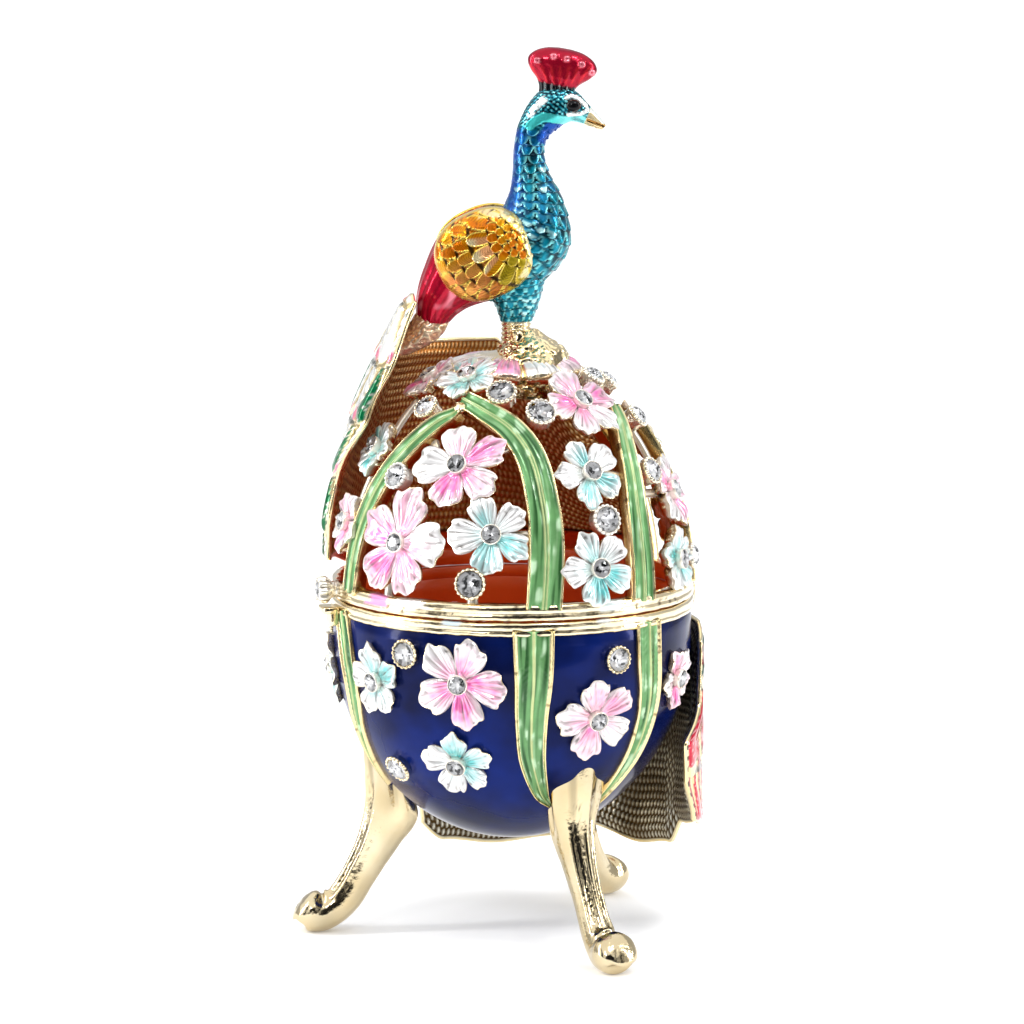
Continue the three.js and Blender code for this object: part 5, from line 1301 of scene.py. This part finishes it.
# A block with rounded edges: sections across it follow a sixth power ellipse and shrink the same way at its ends.
def block(halves, stand, power=6.0):
    lengthwise = np.concatenate([[-1], -np.cos(np.linspace(0.18, math.pi - 0.18, 12)), [1]])[:, None]
    shrink = np.maximum(1 - np.abs(lengthwise) ** power, 1e-3) ** (1 / power)
    turn = np.linspace(0, 2 * math.pi, 32, endpoint=False)[None, :]
    bend = lambda v: np.sign(v) * np.abs(v) ** (2 / power)
    local = np.stack([halves[0] * shrink * bend(np.cos(turn)), halves[1] * shrink * bend(np.sin(turn)),
                      halves[2] * lengthwise + 0 * turn], -1)
    return tube(stand(local))


clasp = {"azimuth": 196, "face": 30.15, "height": 60.2, "lobes": 10, "stone": 1.5}


def makeClasp():
    look = clasp
    stand = facingOut(look["azimuth"], look["face"], look["height"])
    profile = [[0.2, 0], [1.6, 0], [1.35, 0.5], [1.4, 1.1], [1.9, 1.5], [2.25, 1.9], [2.3, 2.4], [2.25, 3.0], [2.1, 3.4],
               [1.85, 3.6], [1.68, 3.5], [1.6, 3.2], [1.56, 2.8], [0.2, 2.7]]
    rings = lathe(profile, 120)
    wave = np.cos(look["lobes"] * np.linspace(0, 2 * math.pi, 120, endpoint=False))[None, :]
    share = np.array([0, 0, 0, 0.2, 0.8, 1, 1, 1, 0.8, 0.4, 0, 0, 0, 0])[:, None]
    rings[..., :2] *= (1 + 0.07 * wave * share - 0.05 * share)[..., None]
    # The grey between the knob's lobes is painted shade.
    knob = tube(stand(rings), blendColours(((0.85, 0.85, 0.84, 0.4), 1 + 0 * wave * share), ((0.2, 0.19, 0.17, 0.6), 0.8 * ease(-wave * share, 0.4, 1))))
    makePiece("claspKnob", "lid", [knob], [petalEnamel], replaced=["clasp_knob"])
    gem = brilliant(None, look["stone"], 2.78, 0.5, 0.45, seated=stand)
    makePiece("claspStone", "lid", [gem], [crystal, foil], replaced=["clasp_stone"], flat=True)
    ledge = block((2.2, 0.6, 1.45), facingOut(look["azimuth"], 31.65, 56.9))
    bracket = block((1.6, 1.5, 0.75), facingOut(look["azimuth"], 31, 55.6))
    makePiece("claspCatch", "base", [ledge, bracket], [gold], replaced=["clasp_catch"])


# A barrel along the hinge's axis, bored through: a rounded rectangle of (radius, place along) turned round.
def barrel(radius, bore, start, stop):
    e = 0.12
    profile = [[bore, start + e], [bore + e, start], [radius - e, start], [radius, start + e], [radius, stop - e],
               [radius - e, stop], [bore + e, stop], [bore, stop - e]]
    rings = lathe(profile, 40)
    local = np.stack([rings[..., 0] + hinge["radius"], rings[..., 2], rings[..., 1] + egg["seam"]], -1)
    return tube(turnAbout(local, hinge["azimuth"]), loop=True)


def makeHinge():
    turn = hinge["azimuth"]
    ends = [barrel(1.05, 0.45, -2.7, -1.3), barrel(1.05, 0.45, 1.3, 2.7)]
    arms = [block((0.68, 1.3, 0.35), shifted(turn, side * 2.0, 31.05, 57.2)) for side in (-1, 1)]
    plate = block((2.7, 1.1, 0.35), facingOut(turn, 31.05, 55.7))
    makePiece("hingeLeafBowl", "base", ends + arms + [plate], [gold], replaced=["hinge_leaf_bowl"])
    strap = block((1.0, 2.0, 0.35), facingOut(turn, 31.05, 60.5))
    makePiece("hingeLeafLid", "lid", [barrel(1.05, 0.45, -1, 1), strap], [gold], replaced=["hinge_leaf_lid"])
    pin = tube(turnAbout(np.stack([0.36 * np.cos(np.linspace(0, 2 * math.pi, 24, endpoint=False))[None, :] + 0 * pinEnds + hinge["radius"],
                                   pinEnds + np.zeros((1, 24)),
                                   0.36 * np.sin(np.linspace(0, 2 * math.pi, 24, endpoint=False))[None, :] + 0 * pinEnds + egg["seam"]], -1), turn))
    makePiece("hingePin", "base", [pin], [gold], replaced=["hinge_pin"])


pinEnds = np.array([-3.0, -2.9, 0.0, 2.9, 3.0])[:, None]


# The same as facingOut, moved along the hinge's axis.
def shifted(azimuth, along, out, height):
    stand = facingOut(azimuth, out, height)
    c, d = math.cos(math.radians(azimuth)), math.sin(math.radians(azimuth))
    return lambda local: stand(local) + [-along * d, along * c, 0]


makeClasp()
makeHinge()
